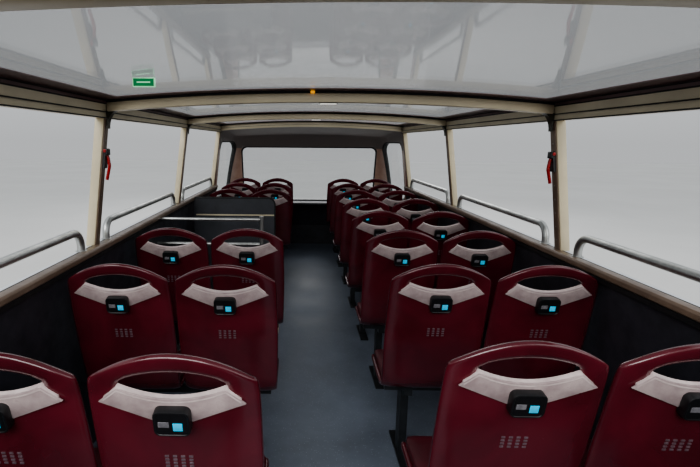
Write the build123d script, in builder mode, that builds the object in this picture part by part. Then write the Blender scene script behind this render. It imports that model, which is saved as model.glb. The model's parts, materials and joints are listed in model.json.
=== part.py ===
from build123d import *
from math import atan2, cos, floor, radians, sin, sqrt, tan
import os

os.makedirs("parts", exist_ok=True)

# Upper deck of an open top double decker bus. +Y is the front of the bus, +X its right side, +Z up.
# The origin is below the middle of the deck, on the faces of the bolt pads. Millimetres.

# Overall size
LENGTH = 10250.0
WIDTH = 2550.0
FRONT_Y = LENGTH / 2
REAR_Y = -LENGTH / 2
HALF = WIDTH / 2

# Floor and the frame under it
PAD_T = 10.0
PAD_X = 140.0
PAD_Y = 200.0
PAD_HOLES_X = 70.0
PAD_HOLES_Y = 130.0
PAD_HOLE_R = 6.5
PAD_HOLE_DEEP = 30.0
PAD_ROWS = 6
PAD_FRONT = 445.0
PAD_REAR = 305.0
FRAME_D = 70.0
RAIL_W = 120.0
BEARER_W = 60.0
BEARER_PITCH = 560.0
FLOOR_T = 20.0
FLOOR_Z = PAD_T + FRAME_D + FLOOR_T

# Side walls: upright to the waist, then leaning in at the tumblehome
WALL = 50.0
LINING = 4.0
WAIST_H = 300.0
TUMBLEHOME = 6.7
SILL_T = 28.0
SILL_H = 1080.0
SILL_IN = 14.0
SILL_OUT = 6.0
WALL_TOP_H = SILL_H - SILL_T

# Canopy: arched beams on slim posts, glass between
HEADER_SETBACK = 1770.0
BAY = 1630.0
BAYS = 3
POST_W = 45.0
POST_D = 36.0
POST_IN_TOP = 1050.0
POST_IN_SILL = 1150.0
CANT_TOP_H = 1785.0
CANT_D = 82.0
CANT_W = 46.0
CANT_LIP = 14.0
CANT_STEP = 2.0
GROOVE = 4.0
GROOVE_DROPS = (14.0, 52.0)
PANE_EDGE = 2.0
BEAM_D = 40.0
BEAM_W = 50.0
HEADER_D = 65.0
HEADER_W = 60.0
CROWN_RISE = 48.0
CROWN_H = CANT_TOP_H + CROWN_RISE
SEAL_T = 4.0
GLASS_T = 8.0
KNEE_R = 85.0
KNEE_W = 32.0
KNEE_TIP = 6.0
KNEE_ARC = 115.0

# Front cap
RAKE = 14.0
BOW = 160.0
CORNER_LOW = 390.0
CORNER_TOP = 330.0
SHELL = 40.0
CAP_DROP = 4.0
DOME_R = 110.0
SCREEN_BASE_H = 700.0
SCREEN_DROP = 260.0
SCREEN_TOP_H = CANT_TOP_H - SCREEN_DROP
SCREEN_HALF = 985.0
SCREEN_R = 70.0
QUARTER_FRONT = 560.0
QUARTER_REAR = 90.0
QUARTER_BASE_H = 880.0
QUARTER_DROP = 185.0
QUARTER_TOP_H = CANT_TOP_H - QUARTER_DROP
QUARTER_R = 130.0
RUBBER = 16.0
RUBBER_PROUD = 2.0
PANEL_SPLIT = 40.0
PANE = 6.0
SHELF_D = 260.0
SHELF_T = 25.0

# Rear end
REAR_CORNER = 220.0
REAR_BOW = 1.0
REAR_RUN = 320.0

# Guard rails over the sills
TUBE_R = 14.0
GUARD_H = 1195.0
GUARD_END = 145.0
GUARD_BEND = 70.0
GUARD_OUT = 6.0
GUARD_REAR = 130.0
REAR_GUARD_END = 300.0

# Seats: two and two, individual moulded shells
SEAT_PITCH = 760.0
FIRST_ROW_SETBACK = 870.0
BENCH_SETBACK = 260.0
LEFT_FRONT_ROWS = 3
LEFT_REAR_GAP = 695.0
LEFT_REAR_PITCH = 810.0
BENCH_CLEAR = 720.0
WINDOW_SEAT_SETBACK = 370.0
AISLE_SHIFT = 18.0
SEAT_SPACING = 450.0
SEAT_W = 440.0
SHOULDER_W = 410.0
PAN_W = 415.0
SHOULDER_R = 45.0
SEAT_H = 1105.0
SHOULDER_DROP = 73.0
WIDEST_DROP = 330.0
PAN_H = 430.0
SHELL_T = 24.0
BACK_REACH = 143.0
PAN_DEPTH = 405.0
HEEL_R = 110.0
LIP_R = 45.0
LIP_DROP = 50.0
FRONT_CORNER = 40.0
SLOT_W = 266.0
SLOT_END = 16.0
SLOT_MID_DROP = 90.0
SLOT_TOP_DROP = 56.0
SLOT_LOW_DROP = 125.0
INSERT_T = 4.0
INSERT_W = 364.0
INSERT_EDGE = 3.0
INSERT_LOW = 214.0
INSERT_TIP = 132.0
BOX_W = 118.0
BOX_H = 92.0
BOX_T = 30.0
BOX_R = 16.0
BOX_DROP = 137.0
CUSHION_T = 45.0
CUSHION_IN = 14.0
CUSHION_FRONT = 30.0
CUSHION_REAR_R = 36.0
SOFT_GAP = 0.3

# Seat frames
TUBE = 30.0
TUBE_IN = 90.0
LEG_SETBACK = 60.0
LEG_X = 40.0
LEG_Y = 70.0
FOOT_X = 60.0
FOOT_Y = 300.0
FOOT_T = 12.0

# Stairwell, on the left
WELL_REAR = 3980.0
WELL_LONG = 940.0
WELL_IN = 340.0
NOSING = 40.0
NOSING_T = 6.0
BOARD_T = 18.0
BOARD_GAP = 2.0
BOARD_W = 760.0
BOARD_TOP_H = 1075.0
BOARD_R = 60.0
STAIR_RAIL_R = 12.0
STAIR_RAIL_H = (1060.0, 880.0)
STAIR_POST_R = 16.0
STAIR_POST_IN = 60.0

# Small fittings
HAMMER_H = 1500.0
HOLDER_W = 36.0
HOLDER_H = 70.0
HOLDER_T = 14.0
HAMMER_W = 22.0
HAMMER_LONG = 130.0
HAMMER_T = 16.0
SIGN_X = -690.0
SIGN_BACK = 560.0
SIGN_W = 80.0
SIGN_D = 14.0
SIGN_H = 30.0
LAMP_LONG = 90.0
LAMP_W = 30.0
LAMP_T = 8.0


def up(height):
    """Height above the floor, as a height above the origin."""
    return FLOOR_Z + height


def side_x(height):
    """Outer half width of the body at a height above the floor."""
    return HALF - max(0.0, height - WAIST_H) * tan(radians(TUMBLEHOME))


def post_in(height):
    """Inner face of the window posts at a height above the floor."""
    share = (height - SILL_H) / (CANT_TOP_H - SILL_H)
    return POST_IN_SILL + (POST_IN_TOP - POST_IN_SILL) * share


def nose_y(height):
    """Foremost point of the front cap at a height above the floor."""
    return FRONT_Y - max(0.0, height - WAIST_H) * tan(radians(RAKE))


def cross(y):
    """Upright plane across the deck, its sketch drawn as X and Z, facing the rear."""
    return Plane.XZ.offset(-y)


header_y = FRONT_Y - HEADER_SETBACK
beam_ys = [header_y - BAY * i for i in range(BAYS + 1)]
canopy_rear = beam_ys[-1]
rear_joint = REAR_Y + REAR_RUN
cap_joint = header_y + HEADER_W / 2
arch_r = (POST_IN_TOP**2 + (CROWN_H - CANT_TOP_H) ** 2) / (2 * (CROWN_H - CANT_TOP_H))


def arch_h(x, radius):
    """Height above the floor of a roof arc of this radius, at a distance from the middle."""
    return CROWN_H - arch_r + sqrt(radius**2 - x**2)


def end_block(inset, joint_y, tip, bow, corner, top_h):
    """Solid end of the body between its joint and its tip, drawn in by an inset, up to a height."""
    with BuildPart() as block:
        for low, high in ((PAD_T - FLOOR_Z, WAIST_H), (WAIST_H, top_h)):
            for height in (low, high):
                with BuildSketch(Plane.XY.offset(up(height))) as outline:
                    toward = 1 if tip(height) > joint_y else -1
                    w = side_x(height) - inset
                    end = tip(height) - toward * inset
                    shoulder = end - toward * bow
                    with BuildLine():
                        Polyline((-w, shoulder), (-w, joint_y), (w, joint_y), (w, shoulder))
                        ThreePointArc((w, shoulder), (0, end), (-w, shoulder))
                    make_face()
                    corners = outline.vertices().filter_by(lambda v: abs(v.Y - shoulder) < 1)
                    fillet(corners, radius=corner(height) - inset)
            loft()
    return block.part


def above_cap_roof(drop):
    """Everything over the front cap's arched, sloping roof, lowered by a drop."""
    slope = radians(CAP_DROP)
    top = up(CROWN_H) + SEAL_T + GLASS_T - drop
    plane = Plane(origin=(0, header_y, top), x_dir=(-1, 0, 0), z_dir=(0, cos(slope), -sin(slope)))
    reach = 1.2 * HALF
    sag = arch_r - sqrt(arch_r**2 - reach**2)
    with BuildPart() as sky:
        with BuildSketch(plane):
            with BuildLine():
                ThreePointArc((-reach, -sag), (0, 0), (reach, -sag))
                Polyline((reach, -sag), (reach, HALF), (-reach, HALF), (-reach, -sag))
            make_face()
        extrude(amount=2 * HEADER_SETBACK, both=True)
    return sky.part


def cap_corner(height):
    """Plan radius of the front cap's corners at a height above the floor."""
    share = max(0.0, height - WAIST_H) / (CROWN_H - WAIST_H)
    return CORNER_LOW + (CORNER_TOP - CORNER_LOW) * share


def cap_solid(inset):
    """The front cap filled in, drawn in all round and under its domed roof by an inset."""
    with BuildPart() as cap:
        add(end_block(inset, cap_joint, nose_y, BOW, cap_corner, CROWN_H + FRAME_D))
        add(above_cap_roof(inset), mode=Mode.SUBTRACT)
        roof = cap.faces().sort_by(Axis.Z)[-1]
        fillet(roof.edges().filter_by(lambda e: e.center().Y > cap_joint + 1), radius=DOME_R - inset)
    return cap.part


def rear_solid(inset):
    """The rounded rear end filled in up to the top of its wall, drawn in by an inset."""
    tip = REAR_Y + SILL_OUT
    return end_block(inset, rear_joint, lambda height: tip, REAR_BOW, lambda height: REAR_CORNER, WALL_TOP_H)


# Frame under the floor: two side rails, cross bearers and the bolt pads under the rails
rail_x = HALF - WALL - RAIL_W / 2
frame_long = cap_joint - rear_joint
frame_mid = (cap_joint + rear_joint) / 2
frame_front = FRONT_Y - BOW - CORNER_LOW
pad_front_y = frame_front - PAD_FRONT
pad_step = (pad_front_y - rear_joint - PAD_REAR) / (PAD_ROWS - 1)
pad_ys = [pad_front_y - pad_step * i for i in range(PAD_ROWS)]
well_y = FRONT_Y - WELL_REAR + WELL_LONG / 2
well_out = HALF - WALL
well_mid_x = -(well_out + WELL_IN) / 2
bearers = int((frame_front - rear_joint) / BEARER_PITCH)
bearer_ys = [frame_front - BEARER_W / 2 - BEARER_PITCH * i for i in range(bearers + 1)]
pads = [(x, y) for x in (-rail_x, rail_x) for y in pad_ys]
on_base = (Align.CENTER, Align.CENTER, Align.MIN)
with BuildPart() as deck_frame:
    with Locations((rail_x, frame_front, PAD_T), (-rail_x, frame_front, PAD_T)):
        Box(RAIL_W, frame_front - rear_joint, FRAME_D, align=(Align.CENTER, Align.MAX, Align.MIN))
    with Locations(*[(0, y, PAD_T) for y in bearer_ys]):
        Box(2 * rail_x, BEARER_W, FRAME_D, align=on_base)
    with Locations((well_mid_x + RAIL_W / 2, well_y, PAD_T)):
        Box(well_out - WELL_IN - RAIL_W, WELL_LONG, FRAME_D, align=on_base, mode=Mode.SUBTRACT)
    with Locations((-WELL_IN + BEARER_W / 2, well_y, PAD_T)):
        Box(BEARER_W, WELL_LONG + 2 * BEARER_PITCH, FRAME_D, align=on_base)
    with Locations(*[(x, y, 0) for x, y in pads]):
        Box(PAD_X, PAD_Y, PAD_T, align=on_base)
    with BuildSketch(Plane.XY):
        with Locations(*pads):
            with GridLocations(PAD_HOLES_X, PAD_HOLES_Y, 2, 2):
                Circle(PAD_HOLE_R)
    extrude(amount=PAD_HOLE_DEEP, mode=Mode.SUBTRACT)

# Floor sheet from the rear wall to the front cap, with the stairwell cut out
floor_slab = Plane.XY.offset(FLOOR_Z - FLOOR_T)
cap_floor = cap_solid(SHELL)
rear_outside = rear_solid(0)
rear_inside = rear_solid(WALL)
rear_room = rear_solid(WALL + LINING)
floor_ends = cap_floor + rear_inside
with BuildPart() as floor_panel:
    with BuildSketch(floor_slab):
        Rectangle(2 * WIDTH, 2 * LENGTH)
    extrude(amount=FLOOR_T)
    add(floor_ends, mode=Mode.INTERSECT)
    with Locations((0, frame_mid, FLOOR_Z - FLOOR_T)):
        Box(2 * (HALF - WALL), frame_long, FLOOR_T, align=on_base)
    with Locations((well_mid_x, well_y, FLOOR_Z - FLOOR_T)):
        Box(well_out - WELL_IN, WELL_LONG, FLOOR_T, align=on_base, mode=Mode.SUBTRACT)

# Right side wall, its lining and its sill, all straight along the deck
wall_in = HALF - WALL
wall_top_x = side_x(WALL_TOP_H)
with BuildPart() as side_wall_right:
    with BuildSketch(cross(cap_joint)):
        with BuildLine():
            Polyline(
                (HALF, PAD_T),
                (HALF, up(WAIST_H)),
                (wall_top_x, up(WALL_TOP_H)),
                (wall_top_x - WALL, up(WALL_TOP_H)),
                (wall_in, up(WAIST_H)),
                (wall_in, PAD_T),
                close=True,
            )
        make_face()
    extrude(amount=frame_long)
with BuildPart() as lining_right:
    with BuildSketch(cross(cap_joint)):
        with BuildLine():
            Polyline(
                (wall_in, FLOOR_Z),
                (wall_in, up(WAIST_H)),
                (wall_top_x - WALL, up(WALL_TOP_H)),
                (wall_top_x - WALL - LINING, up(WALL_TOP_H)),
                (wall_in - LINING, up(WAIST_H)),
                (wall_in - LINING, FLOOR_Z),
                close=True,
            )
        make_face()
    extrude(amount=frame_long)
sill_in = wall_top_x - WALL - SILL_IN
sill_out = wall_top_x + SILL_OUT
with BuildPart() as sill_right:
    with BuildSketch(cross(cap_joint)) as sill_section:
        with Locations(((sill_in + sill_out) / 2, up(WALL_TOP_H))):
            Rectangle(sill_out - sill_in, SILL_T, align=(Align.CENTER, Align.MIN))
        fillet(sill_section.vertices(), radius=SILL_T / 4)
    extrude(amount=frame_long)

# Rear wall with rounded corners, its lining and its sill
with BuildPart() as rear_wall:
    add(rear_outside)
    add(rear_inside, mode=Mode.SUBTRACT)
with BuildPart() as rear_lining:
    add(rear_inside)
    add(rear_room, mode=Mode.SUBTRACT)
    Box(2 * WIDTH, 2 * LENGTH, FLOOR_Z, align=on_base, mode=Mode.SUBTRACT)
with BuildPart() as rear_sill:
    with BuildSketch(Plane.XY.offset(up(WALL_TOP_H))) as rear_band:
        with Locations((0, REAR_Y)):
            Rectangle(2 * sill_out, REAR_RUN, align=(Align.CENTER, Align.MIN))
        fillet(rear_band.vertices().group_by(Axis.Y)[0], radius=REAR_CORNER)
        with Locations((0, REAR_Y + SILL_OUT + WALL + SILL_IN)):
            Rectangle(2 * sill_in, REAR_RUN, align=(Align.CENTER, Align.MIN), mode=Mode.SUBTRACT)
    extrude(amount=SILL_T)

# Right cant rail: an extrusion with two shadow grooves on its inner face
rail_drop = post_in(CANT_TOP_H - CANT_D) - POST_IN_TOP
cant_bottom = CANT_TOP_H - CANT_D
groove_hs = [CANT_TOP_H - drop for drop in GROOVE_DROPS]
lip_x = POST_IN_TOP + CANT_W - CANT_LIP
with BuildPart() as cant_rail_right:
    with BuildSketch(cross(cap_joint)) as cant_section:
        with BuildLine():
            Polyline(
                (POST_IN_TOP, up(CANT_TOP_H)),
                (lip_x, up(arch_h(lip_x, arch_r))),
                (lip_x + CANT_STEP, up(CANT_TOP_H + SEAL_T + GLASS_T)),
                (POST_IN_TOP + CANT_W, up(CANT_TOP_H + SEAL_T)),
                (POST_IN_TOP + CANT_W + rail_drop / 2, up(cant_bottom)),
                (POST_IN_TOP + rail_drop, up(cant_bottom)),
                close=True,
            )
        make_face()
        with Locations(*[(post_in(h), up(h)) for h in groove_hs]):
            Rectangle(2 * GROOVE, GROOVE, mode=Mode.SUBTRACT)
    extrude(amount=cap_joint - canopy_rear + BEAM_W / 2)

# Right posts: slim bars leaning with the tumblehome, from the sill to the cant rail
with BuildPart() as posts_right:
    for y in beam_ys:
        with BuildSketch(cross(y + POST_W / 2)):
            with BuildLine():
                Polyline(
                    (post_in(SILL_H), up(SILL_H)),
                    (post_in(cant_bottom), up(cant_bottom)),
                    (post_in(cant_bottom) + POST_D, up(cant_bottom)),
                    (post_in(SILL_H) + POST_D, up(SILL_H)),
                    close=True,
                )
            make_face()
        extrude(amount=POST_W)
with BuildPart() as side_wall_left:
    mirror(side_wall_right.part, about=Plane.YZ)
with BuildPart() as lining_left:
    mirror(lining_right.part, about=Plane.YZ)
with BuildPart() as sill_left:
    mirror(sill_right.part, about=Plane.YZ)
with BuildPart() as cant_rail_left:
    mirror(cant_rail_right.part, about=Plane.YZ)
with BuildPart() as posts_left:
    mirror(posts_right.part, about=Plane.YZ)


def arch_band(y, width, top_drop, depth, half):
    """Arched slab across the deck: its front at y, its top below the roof arc by a drop, to a half width."""
    outer, inner = arch_r - top_drop, arch_r - top_drop - depth
    outer_end, inner_end = up(arch_h(half, outer)), up(arch_h(half, inner))
    with BuildPart() as band:
        with BuildSketch(cross(y)):
            with BuildLine():
                ThreePointArc((-half, outer_end), (0, up(arch_h(0, outer))), (half, outer_end))
                Line((half, outer_end), (half, inner_end))
                ThreePointArc((half, inner_end), (0, up(arch_h(0, inner))), (-half, inner_end))
                Line((-half, inner_end), (-half, outer_end))
            make_face()
        extrude(amount=width)
    return band.part


# Space between the inner faces of the posts and cant rails, which the beams and knees reach out to
space_low, space_high = SILL_H, CROWN_H + FRAME_D
with BuildPart() as roof_space:
    with BuildSketch(cross(FRONT_Y)):
        with BuildLine():
            Polyline(
                (-post_in(space_low), up(space_low)),
                (post_in(space_low), up(space_low)),
                (post_in(space_high), up(space_high)),
                (-post_in(space_high), up(space_high)),
                close=True,
            )
        make_face()
    extrude(amount=LENGTH)

# Arched roof beams and the deeper front header between the cant rails
with BuildPart() as roof_beams:
    for y in beam_ys[1:]:
        add(arch_band(y + BEAM_W / 2, BEAM_W, 0, BEAM_D, HALF))
    add(roof_space.part, mode=Mode.INTERSECT)
with BuildPart() as header_beam:
    add(arch_band(header_y + HEADER_W / 2, HEADER_W, 0, HEADER_D, HALF))
    add(roof_space.part, mode=Mode.INTERSECT)

# Seals on the beams and panes of roof glass, each from beam to beam
pane_half = lip_x - PANE_EDGE
with BuildPart() as roof_seals:
    for y in beam_ys:
        wide = HEADER_W if y == header_y else BEAM_W
        add(arch_band(y + wide / 2, wide, -SEAL_T, SEAL_T, pane_half))
with BuildPart() as roof_glass:
    for front, rear in zip(beam_ys, beam_ys[1:]):
        add(arch_band(front - SEAL_T, front - rear - 2 * SEAL_T, -SEAL_T - GLASS_T, GLASS_T, pane_half))

# Knees under the beam ends, hollowed to an arc
knee_out = post_in(cant_bottom - KNEE_R)
knee_in = POST_IN_TOP - KNEE_R
knee_under = arch_r - BEAM_D
knee_low = (knee_out - KNEE_TIP, up(cant_bottom - KNEE_R))
knee_high = (knee_in, up(arch_h(knee_in, knee_under)))
with BuildPart() as knees:
    for y in beam_ys[1:]:
        with BuildSketch(cross(y + KNEE_W / 2)):
            with BuildLine():
                Polyline(
                    knee_high,
                    (knee_out + POST_D, up(arch_h(knee_out, knee_under))),
                    (knee_out + POST_D, up(cant_bottom - KNEE_R)),
                    knee_low,
                )
                RadiusArc(knee_low, knee_high, KNEE_ARC)
            make_face()
        extrude(amount=KNEE_W)
    mirror(knees.part, about=Plane.YZ)
    add(roof_space.part, mode=Mode.INTERSECT)
    add(roof_beams.part, mode=Mode.SUBTRACT)

# Front cap: window openings first, each a little smaller for its pane than for its rubber
screen_mid_h = (SCREEN_BASE_H + SCREEN_TOP_H) / 2
quarter_rear = cap_joint + QUARTER_REAR
quarter_long = FRONT_Y - QUARTER_FRONT - quarter_rear
quarter_mid_h = (QUARTER_BASE_H + QUARTER_TOP_H) / 2


def window_holes(shrink):
    """Plugs through the windscreen and both quarter windows, drawn in all round by a shrink."""
    screen_high = SCREEN_TOP_H - SCREEN_BASE_H - 2 * shrink
    quarter_high = QUARTER_TOP_H - QUARTER_BASE_H - 2 * shrink
    with BuildPart() as plugs:
        with BuildSketch(cross(FRONT_Y + SHELL)):
            with Locations((0, up(screen_mid_h))):
                RectangleRounded(2 * (SCREEN_HALF - shrink), screen_high, SCREEN_R)
        extrude(amount=CORNER_LOW + BOW)
        with BuildSketch(Plane.YZ):
            with Locations((quarter_rear + quarter_long / 2, up(quarter_mid_h))):
                RectangleRounded(quarter_long - 2 * shrink, quarter_high, QUARTER_R)
        extrude(amount=WIDTH, both=True)
    return plugs.part


cap_holes = window_holes(0)
pane_plugs = window_holes(RUBBER)
split_z = up(SCREEN_BASE_H - PANEL_SPLIT)
cap_outside = cap_solid(0)
cap_inside = cap_solid(SHELL)
cap_room = cap_solid(SHELL + LINING)
pane_outside = cap_solid(SHELL / 2 - PANE)
pane_inside = cap_solid(SHELL / 2)
rubber_outside = cap_solid(-RUBBER_PROUD)
rubber_inside = cap_solid(SHELL + RUBBER_PROUD)
under_roof = above_cap_roof(SHELL + LINING)
with BuildPart() as cap_whole:
    add(cap_outside)
    add(cap_inside, mode=Mode.SUBTRACT)
    add(cap_holes, mode=Mode.SUBTRACT)
with BuildPart() as front_cap:
    add(cap_whole.part)
    split(bisect_by=Plane.XY.offset(split_z), keep=Keep.TOP)
with BuildPart() as front_panel:
    add(cap_whole.part)
    split(bisect_by=Plane.XY.offset(split_z), keep=Keep.BOTTOM)
with BuildPart() as pane_skin:
    add(pane_outside)
    add(pane_inside, mode=Mode.SUBTRACT)
with BuildPart() as cap_panes:
    add(pane_plugs)
    add(pane_skin.part, mode=Mode.INTERSECT)
pane_list = cap_panes.part.solids().sort_by(Axis.X)
with BuildPart() as quarter_glass:
    add(pane_list[0])
    add(pane_list[-1])
with BuildPart() as windscreen:
    add(pane_list[1])
with BuildPart() as window_rubbers:
    add(rubber_outside)
    add(rubber_inside, mode=Mode.SUBTRACT)
    add(cap_holes, mode=Mode.INTERSECT)
    add(pane_plugs, mode=Mode.SUBTRACT)

# Lining inside the front cap, and the shelf below the windscreen
with BuildPart() as cap_skin:
    add(cap_inside)
    add(cap_room, mode=Mode.SUBTRACT)
    add(cap_holes, mode=Mode.SUBTRACT)
with BuildPart() as front_lining:
    add(cap_skin.part)
    split(bisect_by=Plane.XY.offset(FLOOR_Z), keep=Keep.TOP)
    split(bisect_by=Plane.XY.offset(split_z), keep=Keep.BOTTOM)
with BuildPart() as head_lining:
    add(cap_inside)
    add(under_roof, mode=Mode.INTERSECT)
shelf_rear_y = nose_y(SCREEN_BASE_H) - SHELL - BOW - SHELF_D / 2
with BuildPart() as front_shelf:
    with BuildSketch(Plane.XY.offset(up(SCREEN_BASE_H - SHELF_T))):
        Rectangle(2 * WIDTH, 2 * LENGTH)
    extrude(amount=SHELF_T)
    add(cap_inside, mode=Mode.INTERSECT)
    with Locations((0, shelf_rear_y, up(SCREEN_BASE_H - SHELF_T))):
        Box(
            2 * WIDTH,
            HEADER_SETBACK,
            SHELF_T,
            align=(Align.CENTER, Align.MAX, Align.MIN),
            mode=Mode.SUBTRACT,
        )

# Guard rails: a bent tube over the sill in each bay, canopy bays and open bays alike
guard_x = (sill_in + sill_out) / 2 + GUARD_OUT
open_rear = REAR_Y + GUARD_REAR
open_bays = max(1, round((canopy_rear - open_rear) / BAY))
open_bay = (canopy_rear - open_rear) / open_bays
bay_ends = [(front, rear) for front, rear in zip(beam_ys, beam_ys[1:])]
bay_ends += [(canopy_rear - open_bay * i, canopy_rear - open_bay * (i + 1)) for i in range(open_bays)]
guard_z = up(GUARD_H) - TUBE_R
with BuildPart() as guard_rails_right:
    for front, rear in bay_ends:
        y0, y1 = front - GUARD_END, rear + GUARD_END
        with BuildLine() as run:
            FilletPolyline(
                (guard_x, y0, up(SILL_H)),
                (guard_x, y0, guard_z),
                (guard_x, y1, guard_z),
                (guard_x, y1, up(SILL_H)),
                radius=GUARD_BEND,
            )
        with BuildSketch(Plane(origin=(guard_x, y0, up(SILL_H)), z_dir=(0, 0, 1))):
            Circle(TUBE_R)
        sweep(path=run.wires()[0])
with BuildPart() as guard_rails_left:
    mirror(guard_rails_right.part, about=Plane.YZ)
rear_guard_y = REAR_Y + WALL / 2
rear_guard_x = HALF - REAR_GUARD_END
with BuildPart() as rear_guard_rail:
    with BuildLine() as rear_run:
        FilletPolyline(
            (-rear_guard_x, rear_guard_y, up(SILL_H)),
            (-rear_guard_x, rear_guard_y, guard_z),
            (rear_guard_x, rear_guard_y, guard_z),
            (rear_guard_x, rear_guard_y, up(SILL_H)),
            radius=GUARD_BEND,
        )
    with BuildSketch(Plane(origin=(-rear_guard_x, rear_guard_y, up(SILL_H)), z_dir=(0, 0, 1))):
        Circle(TUBE_R)
    sweep(path=rear_run.wires()[0])

# One seat, its hoop top at Y = 0, drawn over the floor. The shell is one bent section from hoop to front lip,
# cut to its outline from behind and from above, then parted where the heel meets the pan.
lean = atan2(BACK_REACH, SEAT_H - PAN_H)
hip_y = BACK_REACH
pan_front = hip_y + PAN_DEPTH
heel_y = hip_y + HEEL_R * tan((radians(90) - lean) / 2)
back_t = SHELL_T / cos(lean)
inner_hip_y = hip_y + back_t - SHELL_T * tan(lean)
pan_top = PAN_H + SHELL_T


def along(drop):
    """Distance down the leaning back, for a height below the hoop top."""
    return drop / cos(lean)


with BuildPart() as shell_section:
    with BuildSketch(Plane.YZ):
        with BuildLine() as section:
            rear_line = FilletPolyline(
                (0, up(SEAT_H)),
                (hip_y, up(PAN_H)),
                (pan_front - SHELL_T, up(PAN_H)),
                (pan_front - SHELL_T, up(PAN_H - LIP_DROP)),
                radius=[HEEL_R, LIP_R - SHELL_T],
            )
            front_line = FilletPolyline(
                (back_t, up(SEAT_H)),
                (inner_hip_y, up(pan_top)),
                (pan_front, up(pan_top)),
                (pan_front, up(PAN_H - LIP_DROP)),
                radius=[HEEL_R - SHELL_T, LIP_R],
            )
            Line(rear_line @ 0, front_line @ 0)
            Line(rear_line @ 1, front_line @ 1)
        make_face()
    extrude(amount=SEAT_W, both=True)
with BuildPart() as seat_shell:
    add(shell_section.part)
    with BuildSketch(Plane.XZ) as seat_outline:
        with BuildLine():
            shoulder_h = SEAT_H - SHOULDER_DROP
            shoulder = (SHOULDER_W / 2, up(shoulder_h))
            widest = (SEAT_W / 2, up(SEAT_H - WIDEST_DROP))
            foot = (PAN_W / 2, up(PAN_H - LIP_DROP))
            Polyline(foot, widest, shoulder)
            ThreePointArc(shoulder, (0, up(SEAT_H)), (-shoulder[0], shoulder[1]))
            Polyline((-shoulder[0], shoulder[1]), (-widest[0], widest[1]), (-foot[0], foot[1]), foot)
        make_face()
        shoulders = seat_outline.vertices().filter_by(lambda v: abs(v.Y - up(shoulder_h)) < 1)
        fillet(shoulders, radius=SHOULDER_R)
        with BuildLine():
            end_x = SLOT_W / 2
            end_low = up(SEAT_H - SLOT_MID_DROP) - SLOT_END / 2
            end_high = end_low + SLOT_END
            ThreePointArc((-end_x, end_high), (0, up(SEAT_H - SLOT_TOP_DROP)), (end_x, end_high))
            Line((end_x, end_high), (end_x, end_low))
            ThreePointArc((end_x, end_low), (0, up(SEAT_H - SLOT_LOW_DROP)), (-end_x, end_low))
            Line((-end_x, end_low), (-end_x, end_high))
        make_face(mode=Mode.SUBTRACT)
    extrude(amount=LENGTH / 10, both=True, mode=Mode.INTERSECT)
with BuildPart() as seat_back:
    add(seat_shell.part)
    split(bisect_by=Plane.XZ.offset(-heel_y), keep=Keep.TOP)
with BuildPart() as seat_pan:
    add(seat_shell.part)
    split(bisect_by=Plane.XZ.offset(-heel_y), keep=Keep.BOTTOM)
    with BuildSketch(Plane.XY.offset(FLOOR_Z)) as pan_plan:
        with Locations((0, pan_front)):
            Rectangle(SEAT_W, 2 * PAN_DEPTH, align=(Align.CENTER, Align.MAX))
        chamfer(pan_plan.vertices().group_by(Axis.Y)[-1], length=FRONT_CORNER)
    extrude(amount=SEAT_H, mode=Mode.INTERSECT)

# Light insert below the hand slot and the audio unit at its point, on the rear face
rear_face = Plane(origin=(0, 0, up(SEAT_H)), x_dir=(1, 0, 0), z_dir=(0, -cos(lean), -sin(lean)))
with BuildPart() as seat_insert:
    with BuildSketch(rear_face):
        with BuildLine():
            wing = (SLOT_W / 2 + INSERT_EDGE, -along(SLOT_MID_DROP + SLOT_END / 2))
            tip = (INSERT_W / 2, -along(INSERT_TIP))
            point = (BOX_W / 2, -along(INSERT_LOW))
            dip = (0, -along(SLOT_LOW_DROP) - INSERT_EDGE)
            ThreePointArc((-wing[0], wing[1]), dip, wing)
            Polyline(wing, tip, point, (-point[0], point[1]), (-tip[0], tip[1]), (-wing[0], wing[1]))
        make_face()
    extrude(amount=INSERT_T)
with BuildPart() as audio_unit:
    with BuildSketch(rear_face.offset(INSERT_T)):
        with Locations((0, -along(BOX_DROP) - BOX_H / 2)):
            RectangleRounded(BOX_W, BOX_H, BOX_R)
    extrude(amount=BOX_T)

# Cushion on the flat of the pan, its rear edge rounded clear of the heel
pad_z = up(pan_top) + SOFT_GAP
pad_top = up(pan_top + CUSHION_T)
pad_rear = heel_y - CUSHION_REAR_R * tan((radians(90) - lean) / 2)
with BuildPart() as seat_pad:
    with BuildSketch(Plane.YZ) as pad_section:
        with BuildLine():
            FilletPolyline(
                (pad_rear - CUSHION_T * tan(lean), pad_top),
                (pad_rear, pad_z),
                (pan_front - CUSHION_FRONT, pad_z),
                (pan_front - CUSHION_FRONT, pad_top),
                radius=[CUSHION_REAR_R, CUSHION_T / 8],
            )
            Line(
                (pan_front - CUSHION_FRONT, pad_top),
                (pad_rear - CUSHION_T * tan(lean), pad_top),
            )
        make_face()
        fillet(pad_section.vertices().group_by(Axis.Y)[-1].sort_by(Axis.X)[-1], radius=CUSHION_T / 2)
    extrude(amount=PAN_W / 2 - CUSHION_IN, both=True)

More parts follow.
